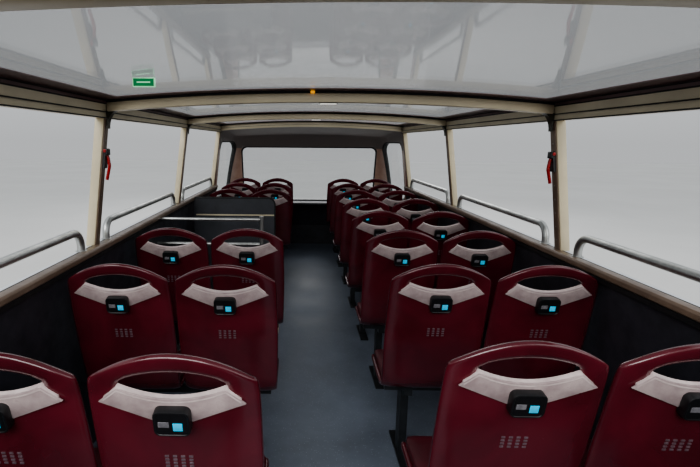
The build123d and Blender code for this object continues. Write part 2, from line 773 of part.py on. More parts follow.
# Where the seats stand: hoop top of each row, from the front, and five across at the rear
window_seat_x = HALF - WINDOW_SEAT_SETBACK
aisle_seat_x = window_seat_x - SEAT_SPACING
first_y = FRONT_Y - FIRST_ROW_SETBACK
bench_y = REAR_Y + BENCH_SETBACK
right_rows_count = floor((first_y - bench_y) / SEAT_PITCH + 0.001)
right_rows = [first_y - SEAT_PITCH * i for i in range(right_rows_count)]
well_rear = FRONT_Y - WELL_REAR
well_front = well_rear + WELL_LONG
left_rear_y = well_rear - LEFT_REAR_GAP
left_rear_count = floor((left_rear_y - bench_y - BENCH_CLEAR) / LEFT_REAR_PITCH) + 1
left_rows = right_rows[:LEFT_FRONT_ROWS] + [left_rear_y - LEFT_REAR_PITCH * i for i in range(left_rear_count)]
pair_xs = (aisle_seat_x, window_seat_x)
seats = [(AISLE_SHIFT + x, y, 0) for y in right_rows + [bench_y] for x in pair_xs]
seats += [(AISLE_SHIFT - x, y, 0) for y in left_rows + [bench_y] for x in pair_xs]
seats += [(AISLE_SHIFT, bench_y, 0)]


def placed(piece, spots):
    """Copies of one seat's piece at each spot."""
    with BuildPart() as copies:
        with Locations(*spots):
            add(piece)
    return copies.part


seat_pieces = {
    "seat_backs": seat_back.part,
    "seat_pans": seat_pan.part,
    "seat_inserts": seat_insert.part,
    "audio_units": audio_unit.part,
    "seat_pads": seat_pad.part,
}


def wall_in_x(height):
    """Inner face of the wall lining at a height above the floor."""
    return side_x(height) - WALL - LINING


# Seat frames: two cross tubes under each pair, a leg with a foot near the aisle, fixed to the wall lining
leg_y = hip_y + PAN_DEPTH / 2
tube_ys = (leg_y - TUBE_IN, leg_y + TUBE_IN)
tube_long = 2 * TUBE_IN + TUBE
tube_end = wall_in_x(PAN_H)


def pair_frame(seat_x):
    """Frame of one pair on the right, for the middle of its aisle seat."""
    leg_x = seat_x - LEG_SETBACK
    tube_from = seat_x - PAN_W / 2 + TUBE
    with BuildPart() as frame:
        with Locations(*[(tube_from, y, up(PAN_H)) for y in tube_ys]):
            Box(tube_end - tube_from, TUBE, TUBE, align=(Align.MIN, Align.CENTER, Align.MAX))
        with Locations((leg_x, leg_y, up(PAN_H) - TUBE)):
            Box(LEG_X, tube_long, TUBE, align=(Align.CENTER, Align.CENTER, Align.MAX))
        with Locations((leg_x, leg_y, FLOOR_Z)):
            Box(LEG_X, LEG_Y, PAN_H - 2 * TUBE, align=on_base)
            Box(FOOT_X, FOOT_Y, FOOT_T, align=on_base)
    return frame.part


frame_right = pair_frame(aisle_seat_x + AISLE_SHIFT)
frame_for_left = pair_frame(aisle_seat_x - AISLE_SHIFT)
with BuildPart() as middle_frame:
    with Locations((AISLE_SHIFT, leg_y, up(PAN_H) - TUBE)):
        Box(PAN_W - 2 * TUBE, tube_long, TUBE, align=on_base)
    with Locations((AISLE_SHIFT, leg_y, FLOOR_Z)):
        Box(LEG_X, LEG_Y, PAN_H - TUBE, align=on_base)
        Box(FOOT_X, FOOT_Y, FOOT_T, align=on_base)
with BuildPart() as frame_left:
    mirror(frame_for_left, about=Plane.YZ)
with BuildPart() as seat_frames:
    with Locations(*[(0, y, 0) for y in right_rows + [bench_y]]):
        add(frame_right)
    with Locations(*[(0, y, 0) for y in left_rows + [bench_y]]):
        add(frame_left.part)
    with Locations((0, bench_y, 0)):
        add(middle_frame.part)

# Stairwell: a nosing round its edge, a low board ahead of it and a two bar rail behind it
with BuildPart() as stair_nosing:
    with Locations((-WELL_IN, well_rear - NOSING, FLOOR_Z), (-WELL_IN, well_front, FLOOR_Z)):
        Box(wall_in_x(0) - WELL_IN, NOSING, NOSING_T, align=(Align.MAX, Align.MIN, Align.MIN))
    with Locations((-WELL_IN, well_y, FLOOR_Z)):
        Box(NOSING, WELL_LONG + 2 * NOSING, NOSING_T, align=(Align.MIN, Align.CENTER, Align.MIN))
board_y = well_front + NOSING + BOARD_GAP
with BuildPart() as stair_board:
    with BuildSketch(cross(board_y + BOARD_T)) as board_shape:
        with Locations((-sill_in, FLOOR_Z)):
            Rectangle(BOARD_W, BOARD_TOP_H, align=(Align.MIN, Align.MIN))
        fillet(board_shape.vertices().group_by(Axis.X)[-1].sort_by(Axis.Y)[-1], radius=BOARD_R)
    extrude(amount=BOARD_T)
stair_rail_y = well_rear - NOSING - STAIR_POST_R
stair_post_x = -WELL_IN - STAIR_POST_IN
with BuildPart() as stair_rails:
    with BuildSketch(Plane.XY.offset(FLOOR_Z)):
        with Locations((stair_post_x, stair_rail_y)):
            Circle(STAIR_POST_R)
    extrude(amount=STAIR_RAIL_H[0] + STAIR_RAIL_R)
    for h in STAIR_RAIL_H:
        with BuildSketch(Plane(origin=(stair_post_x, stair_rail_y, up(h) - STAIR_RAIL_R), z_dir=(-1, 0, 0))):
            Circle(STAIR_RAIL_R)
        extrude(amount=wall_in_x(h) + stair_post_x)

# Small fittings: hammers on the first free posts, a sign and a lamp at the beams
hammer_y = beam_ys[2]
lean_side = atan2(POST_IN_SILL - POST_IN_TOP, CANT_TOP_H - SILL_H)
face_out = (-cos(lean_side), 0, -sin(lean_side))
post_face = Plane(origin=(post_in(HAMMER_H), hammer_y, up(HAMMER_H)), x_dir=(0, 1, 0), z_dir=face_out)
with BuildPart() as hammer_holders:
    with BuildSketch(post_face):
        Rectangle(HOLDER_W, HOLDER_H)
    extrude(amount=HOLDER_T)
    mirror(hammer_holders.part, about=Plane.YZ)
with BuildPart() as hammers:
    with BuildSketch(post_face.offset(HOLDER_T)) as hammer_shape:
        Rectangle(HAMMER_W, HAMMER_LONG)
        fillet(hammer_shape.vertices(), radius=HAMMER_W / 4)
    extrude(amount=HAMMER_T)
    mirror(hammers.part, about=Plane.YZ)
sign_top = up(arch_h(SIGN_X, arch_r + SEAL_T))
roof_over_sign = arch_band(hammer_y, BAY, -SEAL_T - FRAME_D, FRAME_D, pane_half)
with BuildPart() as exit_sign:
    with Locations((SIGN_X, hammer_y - SIGN_BACK, sign_top + SIGN_D)):
        Box(SIGN_W, SIGN_D, SIGN_H + SIGN_D, align=(Align.CENTER, Align.CENTER, Align.MAX))
    add(roof_over_sign, mode=Mode.SUBTRACT)
lamp_top = up(arch_h(LAMP_LONG / 2, arch_r - BEAM_D))
with BuildPart() as ceiling_lamps:
    for y in beam_ys[1:]:
        with BuildSketch(Plane.XY.offset(lamp_top - LAMP_T)):
            with Locations((0, y)):
                SlotOverall(LAMP_LONG, LAMP_W)
        extrude(amount=LAMP_T)

# Name and write every piece
pieces = {
    "deck_frame": deck_frame.part,
    "floor_panel": floor_panel.part,
    "side_wall_right": side_wall_right.part,
    "side_wall_left": side_wall_left.part,
    "lining_right": lining_right.part,
    "lining_left": lining_left.part,
    "sill_right": sill_right.part,
    "sill_left": sill_left.part,
    "rear_wall": rear_wall.part,
    "rear_lining": rear_lining.part,
    "rear_sill": rear_sill.part,
    "cant_rail_right": cant_rail_right.part,
    "cant_rail_left": cant_rail_left.part,
    "posts_right": posts_right.part,
    "posts_left": posts_left.part,
    "roof_beams": roof_beams.part,
    "header_beam": header_beam.part,
    "roof_seals": roof_seals.part,
    "roof_glass": roof_glass.part,
    "knees": knees.part,
    "front_cap": front_cap.part,
    "front_panel": front_panel.part,
    "windscreen": windscreen.part,
    "quarter_glass": quarter_glass.part,
    "window_rubbers": window_rubbers.part,
    "front_lining": front_lining.part,
    "head_lining": head_lining.part,
    "front_shelf": front_shelf.part,
    "guard_rails_right": guard_rails_right.part,
    "guard_rails_left": guard_rails_left.part,
    "rear_guard_rail": rear_guard_rail.part,
    "seat_frames": seat_frames.part,
    "stair_nosing": stair_nosing.part,
    "stair_board": stair_board.part,
    "stair_rails": stair_rails.part,
    "hammer_holders": hammer_holders.part,
    "hammers": hammers.part,
    "exit_sign": exit_sign.part,
    "ceiling_lamps": ceiling_lamps.part,
}
for name, piece in seat_pieces.items():
    pieces[name] = placed(piece, seats)
for name, piece in pieces.items():
    piece.label = name
    export_step(piece, f"parts/{name}.step")
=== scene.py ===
import json
import math

import bpy
from mathutils import Matrix, Vector


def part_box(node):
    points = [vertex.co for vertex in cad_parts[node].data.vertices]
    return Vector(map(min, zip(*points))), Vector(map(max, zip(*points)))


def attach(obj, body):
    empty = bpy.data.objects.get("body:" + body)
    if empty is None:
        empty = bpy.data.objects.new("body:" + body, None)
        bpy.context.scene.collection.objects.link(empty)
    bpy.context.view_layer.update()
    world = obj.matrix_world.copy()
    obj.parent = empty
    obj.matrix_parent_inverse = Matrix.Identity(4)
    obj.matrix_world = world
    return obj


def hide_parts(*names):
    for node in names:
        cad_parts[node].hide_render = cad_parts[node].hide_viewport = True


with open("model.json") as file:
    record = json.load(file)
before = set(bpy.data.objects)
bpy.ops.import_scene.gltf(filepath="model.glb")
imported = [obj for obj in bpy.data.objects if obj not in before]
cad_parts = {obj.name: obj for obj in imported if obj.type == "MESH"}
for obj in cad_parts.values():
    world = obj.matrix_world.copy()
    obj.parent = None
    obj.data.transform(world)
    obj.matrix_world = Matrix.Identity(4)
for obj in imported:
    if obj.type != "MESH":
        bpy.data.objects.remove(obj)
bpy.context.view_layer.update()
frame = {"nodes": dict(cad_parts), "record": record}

bl_info = {
    "name": "Open top upper deck",
    "version": (1, 0, 0),
    "blender": (4, 5, 0),
    "location": "3D View > Sidebar > Upper deck",
    "description": "Dresses the upper deck of an open top bus: canopy, moulded seats, rails and trim",
    "category": "Object",
}

MM = 0.001
MERGE = 0.02 * MM  # Points of a solid's mesh nearer than this are one
FACING = 0.3  # Least cosine between a face's normal and the way it has to look
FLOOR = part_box("floor_panel")[1].z


# Sizes and colours


def length(name, description, default):
    """A length in metres."""
    return bpy.props.FloatProperty(name=name, description=description, default=default, unit="LENGTH")


def number(name, description, default):
    """A count of rows."""
    return bpy.props.IntProperty(name=name, description=description, default=default, min=1)


def hex_colour(name, description, default):
    """A colour as sRGB hex."""
    return bpy.props.StringProperty(name=name, description=description, default=default)


class CanopySizes(bpy.types.PropertyGroup):
    """Sizes of the glazed canopy over the front of the deck."""

    header_y: length("Header", "Middle of the header beam", 3.355)
    bay: length("Bay", "From one roof beam to the next", 1.63)
    half: length("Half width", "Middle of the roof to the cant rails", 1.05)
    side_h: length("Side height", "Floor to the top of the cant rails", 1.785)
    rise: length("Rise", "Cant rail to the crown of the roof", 0.048)
    beam_w: length("Beam width", "Width of a roof beam", 0.050)
    beam_d: length("Beam depth", "Depth of a roof beam", 0.052)
    header_w: length("Header width", "Width of the header beam", 0.060)
    header_d: length("Header depth", "Depth of the header beam", 0.065)
    post_w: length("Post width", "Width of a post along the deck", 0.058)
    post_d: length("Post depth", "Depth of a post across the deck", 0.046)
    glass_band: length("Glass band", "Width of the painted band round each roof pane", 0.085)
    post_foot: length("Post foot", "Middle of the deck to a post at the sill", 1.150)


class RailSizes(bpy.types.PropertyGroup):
    """Sizes of the sills and guard rails."""

    sill_h: length("Sill height", "Floor to the top of the sill", 1.080)
    tube_r: length("Tube radius", "Radius of the guard rail's tube", 0.018)
    guard_end: length("Rail end", "Post to the end of its rail", 0.145)
    guard_bend: length("Rail bend", "Radius of the rail's bends", 0.070)


class SeatSizes(bpy.types.PropertyGroup):
    """Sizes of one moulded seat and the places of its rows."""

    height: length("Height", "Floor to the top of the back", 1.105)
    pan_h: length("Pan height", "Floor to the underside of the pan", 0.430)
    reach: length("Reach", "How far the back leans from hip to top", 0.143)
    depth: length("Pan depth", "Hip to the front of the pan", 0.405)
    shell: length("Shell", "Thickness of the moulding", 0.024)
    spacing: length("Spacing", "Middle to middle of a pair", 0.450)
    aisle_x: length("Aisle seat", "Middle of the aisle to an aisle seat", 0.455)
    shift: length("Aisle shift", "How far the aisle lies to the right", 0.018)
    first_y: length("First row", "Place of the first row's top", 4.255)
    pitch: length("Pitch", "Row to row", 0.760)
    left_rear_y: length("Left rear row", "First row behind the stairs", 0.450)
    left_pitch: length("Left pitch", "Row to row behind the stairs", 0.810)
    right_rows: number("Right rows", "Rows on the right, before the bench", 12)
    left_front_rows: number("Left front rows", "Rows ahead of the stairs", 3)
    left_rear_rows: number("Left rear rows", "Rows behind the stairs", 6)


class DeckColours(bpy.types.PropertyGroup):
    """Colours of the main finishes."""

    seat: hex_colour("Seat", "Moulded seat shells", "561A24")
    cushion: hex_colour("Cushion", "Seat pads", "521722")
    cream: hex_colour("Cream", "Powder coated frames", "D8CCAE")
    band: hex_colour("Band", "Upper band of the roof beams", "6B5052")
    body: hex_colour("Body", "Coach paint outside", "8E1620")
    floor: hex_colour("Floor", "Floor vinyl", "717B88")


# Nodes and materials


def linear(code):
    """Linear RGBA of an sRGB hex colour."""
    parts = [int(code[i : i + 2], 16) / 255 for i in (0, 2, 4)]
    return [c / 12.92 if c <= 0.04045 else ((c + 0.055) / 1.055) ** 2.4 for c in parts] + [1.0]


def shade(code, factor):
    """A hex colour made darker or lighter."""
    return "".join(f"{min(255, round(int(code[i : i + 2], 16) * factor)):02X}" for i in (0, 2, 4))


def wire(tree, node, sockets):
    """Gives each socket of a node its value, or its link where the value is another node's output."""
    for key, value in sockets.items():
        if isinstance(value, bpy.types.NodeSocket):
            tree.links.new(value, node.inputs[key])
        else:
            node.inputs[key].default_value = value


def add(tree, kind, sockets=None, **settings):
    """Adds a node with its settings, and a value or a link for each socket."""
    made = tree.nodes.new(kind)
    for key, value in settings.items():
        setattr(made, key, value)
    wire(tree, made, sockets or {})
    return made


def scale_for(size_mm):
    """Texture scale on Object coordinates for features of a real size."""
    return 1000.0 / size_mm


def start_material(name):
    """An empty material with its shader and its Object coordinates."""
    made = bpy.data.materials.new(name)
    made.use_nodes = True
    tree = made.node_tree
    tree.nodes.clear()
    shader = add(tree, "ShaderNodeBsdfPrincipled")
    add(tree, "ShaderNodeOutputMaterial", {"Surface": shader.outputs["BSDF"]})
    place = add(tree, "ShaderNodeTexCoord").outputs["Object"]
    return made, tree, shader, place


def mottled(tree, place, size_mm, look=(4.0, 0.6, 0.0), within=(0.35, 0.65), out=(0.0, 1.0)):
    """Soft patches of a real size between two values. The look is detail, roughness and distortion."""
    cloud = {"Vector": place, "Scale": scale_for(size_mm)}
    cloud.update(zip(("Detail", "Roughness", "Distortion"), look))
    ends = {"Value": add(tree, "ShaderNodeTexNoise", cloud).outputs["Fac"]}
    ends.update(zip(("From Min", "From Max", "To Min", "To Max"), (*within, *out)))
    return add(tree, "ShaderNodeMapRange", ends).outputs["Result"]


def grain(tree, place, size_mm, depth_mm):
    """A fine raised grain of a real size and depth."""
    cloud = {"Vector": place, "Scale": scale_for(size_mm), "Detail": 2.0, "Roughness": 0.5}
    height = add(tree, "ShaderNodeTexNoise", cloud).outputs["Fac"]
    sockets = {"Height": height, "Distance": depth_mm * MM, "Strength": 1.0}
    return add(tree, "ShaderNodeBump", sockets).outputs["Normal"]


def plain_finish(name, dark, light, patch_mm, grain_mm, depth_mm, rough, metallic=0.0, ior=1.5, coat=0.0):
    """A finish with slow colour patches, a fine grain and a roughness that wanders between two values."""
    made, tree, shader, place = start_material(name)
    patch = mottled(tree, place, patch_mm)
    tint = {0: patch, 6: linear(dark), 7: linear(light)}
    gloss = {"Value": patch, "To Min": rough[1], "To Max": rough[0]}
    wire(tree, shader, {
        "Base Color": add(tree, "ShaderNodeMix", tint, data_type="RGBA").outputs[2],
        "Roughness": add(tree, "ShaderNodeMapRange", gloss).outputs["Result"],
        "Normal": grain(tree, place, grain_mm, depth_mm),
        "Metallic": metallic,
        "IOR": ior,
        "Coat Weight": coat,
        "Coat Roughness": 0.12,
    })
    return made


def moulded_abs(name, colour):
    """Glossy moulded plastic: orange peel, flow marks along the shell and pale scuffs."""
    made, tree, shader, place = start_material(name)
    flow = mottled(tree, place, 240, (3.0, 0.55, 0.6))
    scuff = mottled(tree, place, 9, (8.0, 0.75, 0.0), (0.66, 0.74), (0.0, 0.35))
    tint = {0: flow, 6: linear(shade(colour, 0.86)), 7: linear(shade(colour, 1.08))}
    base = add(tree, "ShaderNodeMix", tint, data_type="RGBA").outputs[2]
    worn = {0: scuff, 6: base, 7: linear(shade(colour, 1.5))}
    gloss = add(tree, "ShaderNodeMapRange", {"Value": flow, "To Min": 0.17, "To Max": 0.27}).outputs["Result"]
    wire(tree, shader, {
        "Base Color": add(tree, "ShaderNodeMix", worn, data_type="RGBA").outputs[2],
        "Roughness": add(tree, "ShaderNodeMath", {0: gloss, 1: scuff}, operation="ADD").outputs[0],
        "Normal": grain(tree, place, 5, 0.04),
        "IOR": 1.54,
        "Coat Weight": 0.35,
        "Coat Roughness": 0.1,
    })
    return made


def needle_felt(name, dark, light):
    """Needle punched felt: short matted fibres, a few millimetres across."""
    made, tree, shader, place = start_material(name)
    cloud = {"Vector": place, "Scale": scale_for(4), "Detail": 6.0, "Roughness": 0.8, "Distortion": 1.2}
    fibre = add(tree, "ShaderNodeTexNoise", cloud).outputs["Fac"]
    tint = {0: fibre, 6: linear(dark), 7: linear(light)}
    matted = {"Height": fibre, "Distance": 0.5 * MM, "Strength": 1.0}
    wire(tree, shader, {
        "Base Color": add(tree, "ShaderNodeMix", tint, data_type="RGBA").outputs[2],
        "Normal": add(tree, "ShaderNodeBump", matted).outputs["Normal"],
        "Roughness": 0.92,
        "Sheen Weight": 0.25,
        "Sheen Roughness": 0.5,
    })
    return made


def brushed_steel(name, dark, light):
    """Stainless tube, satin polished round its girth: fine lines a millimetre apart."""
    made, tree, shader, place = start_material(name)
    lines = add(tree, "ShaderNodeMapping", {"Vector": place, "Scale": (0.4, 1.0, 0.4)}).outputs["Vector"]
    cloud = {"Vector": lines, "Scale": scale_for(1.5), "Detail": 3.0, "Roughness": 0.5}
    brush = add(tree, "ShaderNodeTexNoise", cloud).outputs["Fac"]
    tint = {0: mottled(tree, place, 90), 6: linear(dark), 7: linear(light)}
    gloss = {"Value": brush, "From Min": 0.3, "From Max": 0.7, "To Min": 0.3, "To Max": 0.46}
    scored = {"Height": brush, "Distance": 0.01 * MM, "Strength": 1.0}
    wire(tree, shader, {
        "Base Color": add(tree, "ShaderNodeMix", tint, data_type="RGBA").outputs[2],
        "Roughness": add(tree, "ShaderNodeMapRange", gloss).outputs["Result"],
        "Normal": add(tree, "ShaderNodeBump", scored).outputs["Normal"],
        "Metallic": 1.0,
    })
    return made


def flecked_vinyl(name, colour, fleck):
    """Calendered safety vinyl: pale quartz flecks of 3 to 5 mm in a coloured sheet."""
    made, tree, shader, place = start_material(name)
    wear = mottled(tree, place, 420)
    tint = {0: wear, 6: linear(shade(colour, 0.88)), 7: linear(shade(colour, 1.06))}
    base = add(tree, "ShaderNodeMix", tint, data_type="RGBA").outputs[2]
    cells = add(tree, "ShaderNodeTexVoronoi", {"Vector": place, "Scale": scale_for(9)})
    chance = add(tree, "ShaderNodeSeparateColor", {"Color": cells.outputs["Color"]}).outputs[0]
    distance = cells.outputs["Distance"]
    inside = {"Value": distance, "From Min": 0.2, "From Max": 0.3, "To Min": 1.0, "To Max": 0.0}
    chosen = {"Value": chance, "From Min": 0.8, "From Max": 0.82, "To Max": 0.6}
    near, pale = (add(tree, "ShaderNodeMapRange", ends).outputs["Result"] for ends in (inside, chosen))
    spot = add(tree, "ShaderNodeMath", {0: near, 1: pale}, operation="MULTIPLY").outputs[0]
    gloss = {"Value": wear, "To Min": 0.42, "To Max": 0.56}
    flecked = {0: spot, 6: base, 7: linear(fleck)}
    wire(tree, shader, {
        "Base Color": add(tree, "ShaderNodeMix", flecked, data_type="RGBA").outputs[2],
        "Roughness": add(tree, "ShaderNodeMapRange", gloss).outputs["Result"],
        "Normal": grain(tree, place, 2.5, 0.15),
    })
    return made


def grained_vinyl(name, colour):
    """Coated vinyl embossed with a leather grain of about 2 mm cells."""
    made, tree, shader, place = start_material(name)
    cells = {"Vector": place, "Scale": scale_for(2.4)}
    creases = add(tree, "ShaderNodeTexVoronoi", cells, feature="DISTANCE_TO_EDGE").outputs["Distance"]
    height = add(tree, "ShaderNodeMapRange", {"Value": creases, "From Max": 0.25}).outputs["Result"]
    patch = mottled(tree, place, 120, (3.0, 0.5, 0.0))
    tint = {0: patch, 6: linear(shade(colour, 0.85)), 7: linear(shade(colour, 1.1))}
    embossed = {"Height": height, "Distance": 0.18 * MM, "Strength": 1.0}
    wire(tree, shader, {
        "Base Color": add(tree, "ShaderNodeMix", tint, data_type="RGBA").outputs[2],
        "Normal": add(tree, "ShaderNodeBump", embossed).outputs["Normal"],
        "Roughness": 0.42,
        "IOR": 1.52,
    })
    return made


def sheet_glass(name, colour, alpha):
    """Laminated safety glass: thin film of its tint, sharp reflections."""
    made, tree, shader, place = start_material(name)
    cloud = {"Vector": place, "Scale": scale_for(700), "Detail": 2.0, "Roughness": 0.5}
    film = add(tree, "ShaderNodeTexNoise", cloud).outputs["Fac"]
    tint = {0: film, 6: linear(shade(colour, 0.97)), 7: linear(colour)}
    wire(tree, shader, {
        "Base Color": add(tree, "ShaderNodeMix", tint, data_type="RGBA").outputs[2],
        "Roughness": mottled(tree, place, 300, within=(0.3, 0.7), out=(0.02, 0.06)),
        "Alpha": alpha,
        "IOR": 1.52,
    })
    return made


def lit_plate(name, colour, glow):
    """Backlit acrylic, even with a faint cloud in it."""
    made, tree, shader, place = start_material(name)
    cloud = mottled(tree, place, 25, (2.0, 0.5, 0.0), (0.3, 0.7))
    ends = {0: cloud, 6: linear(shade(colour, 0.9)), 7: linear(colour)}
    tint = add(tree, "ShaderNodeMix", ends, data_type="RGBA").outputs[2]
    wire(tree, shader, {
        "Base Color": tint,
        "Emission Color": tint,
        "Emission Strength": glow,
        "Roughness": 0.25,
        "IOR": 1.49,
    })
    return made


def make_materials(colours):
    """Every material, by the name of the record's slot or of its own piece."""
    cream, band, body, plain = colours.cream, colours.band, colours.body, plain_finish
    return {
        # Injection moulded ABS: a faint orange peel under a deep gloss, lighter scuffs where bags rub
        "seat_moulding": moulded_abs("moulded_abs_maroon", colours.seat),
        # Injection moulded ABS insert, satin, dusty in patches
        "seat_insert": plain("moulded_abs_pale", "968686", "B3A4A2", 60, 2.5, 0.02, (0.26, 0.4)),
        # The insert's lip round the hand slot: the same plastic, polished by hands, and coloured paler than
        # the insert as a painted highlight along the slot's edge
        "slot_lip": plain("polished_abs_painted_highlight", "B5A6A4", "CBBDBA", 45, 4, 0.02, (0.16, 0.26), coat=0.3),
        # Moulded polycarbonate housing with a spark-eroded fine texture
        "black_plastic": plain(
            "textured_polycarbonate", "0D0E10", "17181B", 40, 1.2, 0.05, (0.34, 0.5), ior=1.58
        ),
        # Powder coated aluminium extrusion: satin, with a very fine orange peel and slow yellowing
        "cream_aluminium": plain(
            "powder_coat_cream", shade(cream, 0.93), cream, 260, 3.0, 0.025, (0.3, 0.42)
        ),
        # Powder coat on aluminium: bronze brown, satin
        "band": plain("powder_coat_brown", shade(band, 0.85), band, 180, 3.0, 0.02, (0.3, 0.45)),
        # Coach enamel over filler: deep gloss with a clear coat
        "body_paint": plain(
            "coach_enamel", shade(body, 0.965), body, 2400, 9.0, 0.006, (0.2, 0.24), coat=0.6
        ),
        # High pressure laminate: dark, with a fine stipple
        "wall_lining": plain("stippled_laminate", "2A2B30", "383A41", 120, 1.6, 0.06, (0.42, 0.56)),
        # Laminate on the pillars, taupe, with a pearl stipple
        "pillar_laminate": plain("taupe_laminate", "B08E7C", "C2A290", 160, 1.8, 0.04, (0.3, 0.42)),
        # Needle felt over the dome of the front cap, warm grey
        "cap_lining": needle_felt("needle_felt_grey", "68625F", "938B88"),
        # Extruded rubber, matt with a dusty bloom
        "seal_rubber": plain("extruded_epdm", "08080A", "121214", 50, 1.5, 0.04, (0.5, 0.66), ior=1.52),
        # Stainless tube, brushed: satin, with fine lines round it
        "stainless": brushed_steel("brushed_stainless", "A9ABA9", "C6C8C6"),
        # Enamel sprayed on welded steel: dark, a slightly uneven satin
        "steel_frame": plain("chassis_enamel", "1E2023", "2B2E31", 90, 2.5, 0.04, (0.38, 0.52)),
        # Calendered vinyl sheet with quartz: pale flecks, dull where feet have worn it
        "floor_vinyl": flecked_vinyl("safety_vinyl", colours.floor, "A7B0BA"),
        # Coated vinyl, embossed: a leather grain with a soft shine
        "seat_vinyl": grained_vinyl("grained_vinyl", colours.cushion),
        # Enamel on pressed steel: dark olive, satin
        "knee_paint": plain("olive_enamel", "2A2A1E", "3A392A", 60, 2.5, 0.03, (0.3, 0.44)),
        # Board faced with laminate: an even satin grey
        "board_laminate": plain("grey_laminate", "3A3C40", "484A4F", 200, 1.8, 0.03, (0.3, 0.4)),
        # Bronze anodised cover strip, drawn down its length
        "bronze": plain("anodised_bronze", "6A584A", "7D6A5A", 120, 2.0, 0.015, (0.28, 0.4)),
        # Two pack enamel on the sill tops, worn to a satin by sleeves. Its pale cool grey is partly the
        # enamel's own colour, partly a painted reflection of the sky
        "sill_paint": plain("sill_enamel_painted_reflection", "DADDE1", "E2E5E8", 900, 3.0, 0.012, (0.26, 0.36), coat=0.2),
        # Moulded nylon: bright red with a soft shine
        "red_plastic": plain("moulded_nylon_red", "8E0D0D", "AC1412", 30, 1.5, 0.02, (0.24, 0.34), ior=1.53),
        # Float glass, laminated: the roof panes dark, the windows nearly clear
        "roof_glass": sheet_glass("tinted_safety_glass", "33444E", 0.40),
        "window_glass": sheet_glass("clear_safety_glass", "DDE8E6", 0.12),
        # Cast acrylic lit from behind: an even glow
        "sign_green": lit_plate("printed_acrylic_green", "0B7A42", 0.35),
        "sign_edge": lit_plate("lit_acrylic_edge", "9BE3B4", 0.6),
        "lamp_white": lit_plate("opal_acrylic", "F1EFE6", 0.7),
        "lamp_amber": lit_plate("amber_acrylic", "E8A020", 0.9),
        # Moulded acrylic lens: amber and glossy
        "amber_lens": plain("amber_pmma", "C8761A", "D98A2A", 30, 2.0, 0.01, (0.1, 0.2), ior=1.49),
        "lamp_cyan": lit_plate("lit_cyan_polycarbonate", "1FA9CF", 0.6),
        # Polyester film label, blank and matt
        "label": plain("matt_polyester_film", "626166", "7C7B7F", 12, 2.0, 0.01, (0.4, 0.5)),
        # Moulded mesh of the loudspeaker, coloured paler than the seat: a painted highlight on its ribs
        "grille": plain("nylon_mesh_painted_highlight", "56464C", "72626A", 9, 1.5, 0.02, (0.3, 0.42), ior=1.53),
        # Zinc plated steel: bright, pale where a tool has rubbed it
        "screw": plain("zinc_plated_screw", "9A9A97", "B7B7B3", 4, 1.2, 0.02, (0.26, 0.4), metallic=1.0),
    }


FINISHES = {}


def finishes():
    """The materials, made once."""
    if not FINISHES:
        FINISHES.update(make_materials(bpy.context.scene.deck_colours))
    return FINISHES


# Modelling


def only(*objects):
    """Selects these objects alone and makes the first one active."""
    if bpy.context.object and bpy.context.object.mode != "OBJECT":
        bpy.ops.object.mode_set(mode="OBJECT")
    bpy.ops.object.select_all(action="DESELECT")
    for thing in objects:
        thing.select_set(True)
    if objects:
        bpy.context.view_layer.objects.active = objects[0]


def edit(thing, action="DESELECT"):
    """Opens a piece in edit mode with nothing selected, or everything."""
    only(thing)
    bpy.ops.object.mode_set(mode="EDIT")
    bpy.ops.mesh.select_all(action=action)


def pick(thing, kind, test):
    """Selects the faces or edges that pass a test on their middle and on their normal or direction."""
    bpy.ops.object.mode_set(mode="OBJECT")
    mesh = thing.data
    for group in (mesh.vertices, mesh.edges, mesh.polygons):
        for item in group:
            item.select = False
    if kind == "FACE":
        for face in mesh.polygons:
            face.select = test(face.center, face.normal)
    else:
        for edge in mesh.edges:
            a, b = (mesh.vertices[i].co for i in edge.vertices)
            edge.select = test((a + b) / 2, (b - a).normalized())
    bpy.ops.object.mode_set(mode="EDIT")
    bpy.ops.mesh.select_mode(type=kind)


def apply_modifier(thing, kind, **settings):
    """Adds a modifier and applies it."""
    only(thing)
    made = thing.modifiers.new(kind.lower(), kind)
    for key, value in settings.items():
        setattr(made, key, value)
    bpy.ops.object.modifier_apply(modifier=made.name)


def rounded(thing, width, segments=2, angle=30):
    """Rounds the edges of a piece."""
    limit = math.radians(angle)
    apply_modifier(thing, "BEVEL", width=width, segments=segments, limit_method="ANGLE", angle_limit=limit)


def drawn_through(name, outline, moves, bevel=0.0, segments=2):
    """A bar: its outline as a face, drawn out through each move in turn."""
    only()
    bpy.ops.mesh.primitive_circle_add(vertices=len(outline), radius=1.0, fill_type="NGON")
    thing = bpy.context.object
    thing.name = name
    for vertex, place in zip(thing.data.vertices, outline):
        vertex.co = place
    edit(thing)
    bpy.ops.mesh.select_mode(type="FACE")
    bpy.ops.mesh.select_all(action="SELECT")
    for move in moves:
        bpy.ops.mesh.extrude_region_move(TRANSFORM_OT_translate={"value": tuple(move)})
    bpy.ops.mesh.select_all(action="SELECT")
    bpy.ops.mesh.normals_make_consistent(inside=False)
    bpy.ops.object.mode_set(mode="OBJECT")
    if bevel:
        rounded(thing, bevel, segments)
    return thing


def block(name, low, high, bevel=0.0, segments=2):
    """A block between two corners, its edges rounded."""
    only()
    bpy.ops.mesh.primitive_cube_add(size=1.0, location=[(a + b) / 2 for a, b in zip(low, high)])
    thing = bpy.context.object
    thing.name = name
    bpy.ops.transform.resize(value=[b - a for a, b in zip(low, high)])
    bpy.ops.object.transform_apply(location=True, rotation=True, scale=True)
    if bevel:
        rounded(thing, bevel, segments)
    return thing


def ball(name, radius, flat):
    """A low dome of a screw or rivet, flattened across the deck."""
    only()
    bpy.ops.mesh.primitive_uv_sphere_add(segments=8, ring_count=6, radius=radius)
    thing = bpy.context.object
    thing.name = name
    thing.data.transform(Matrix.Scale(flat, 4, (1, 0, 0)))
    return thing


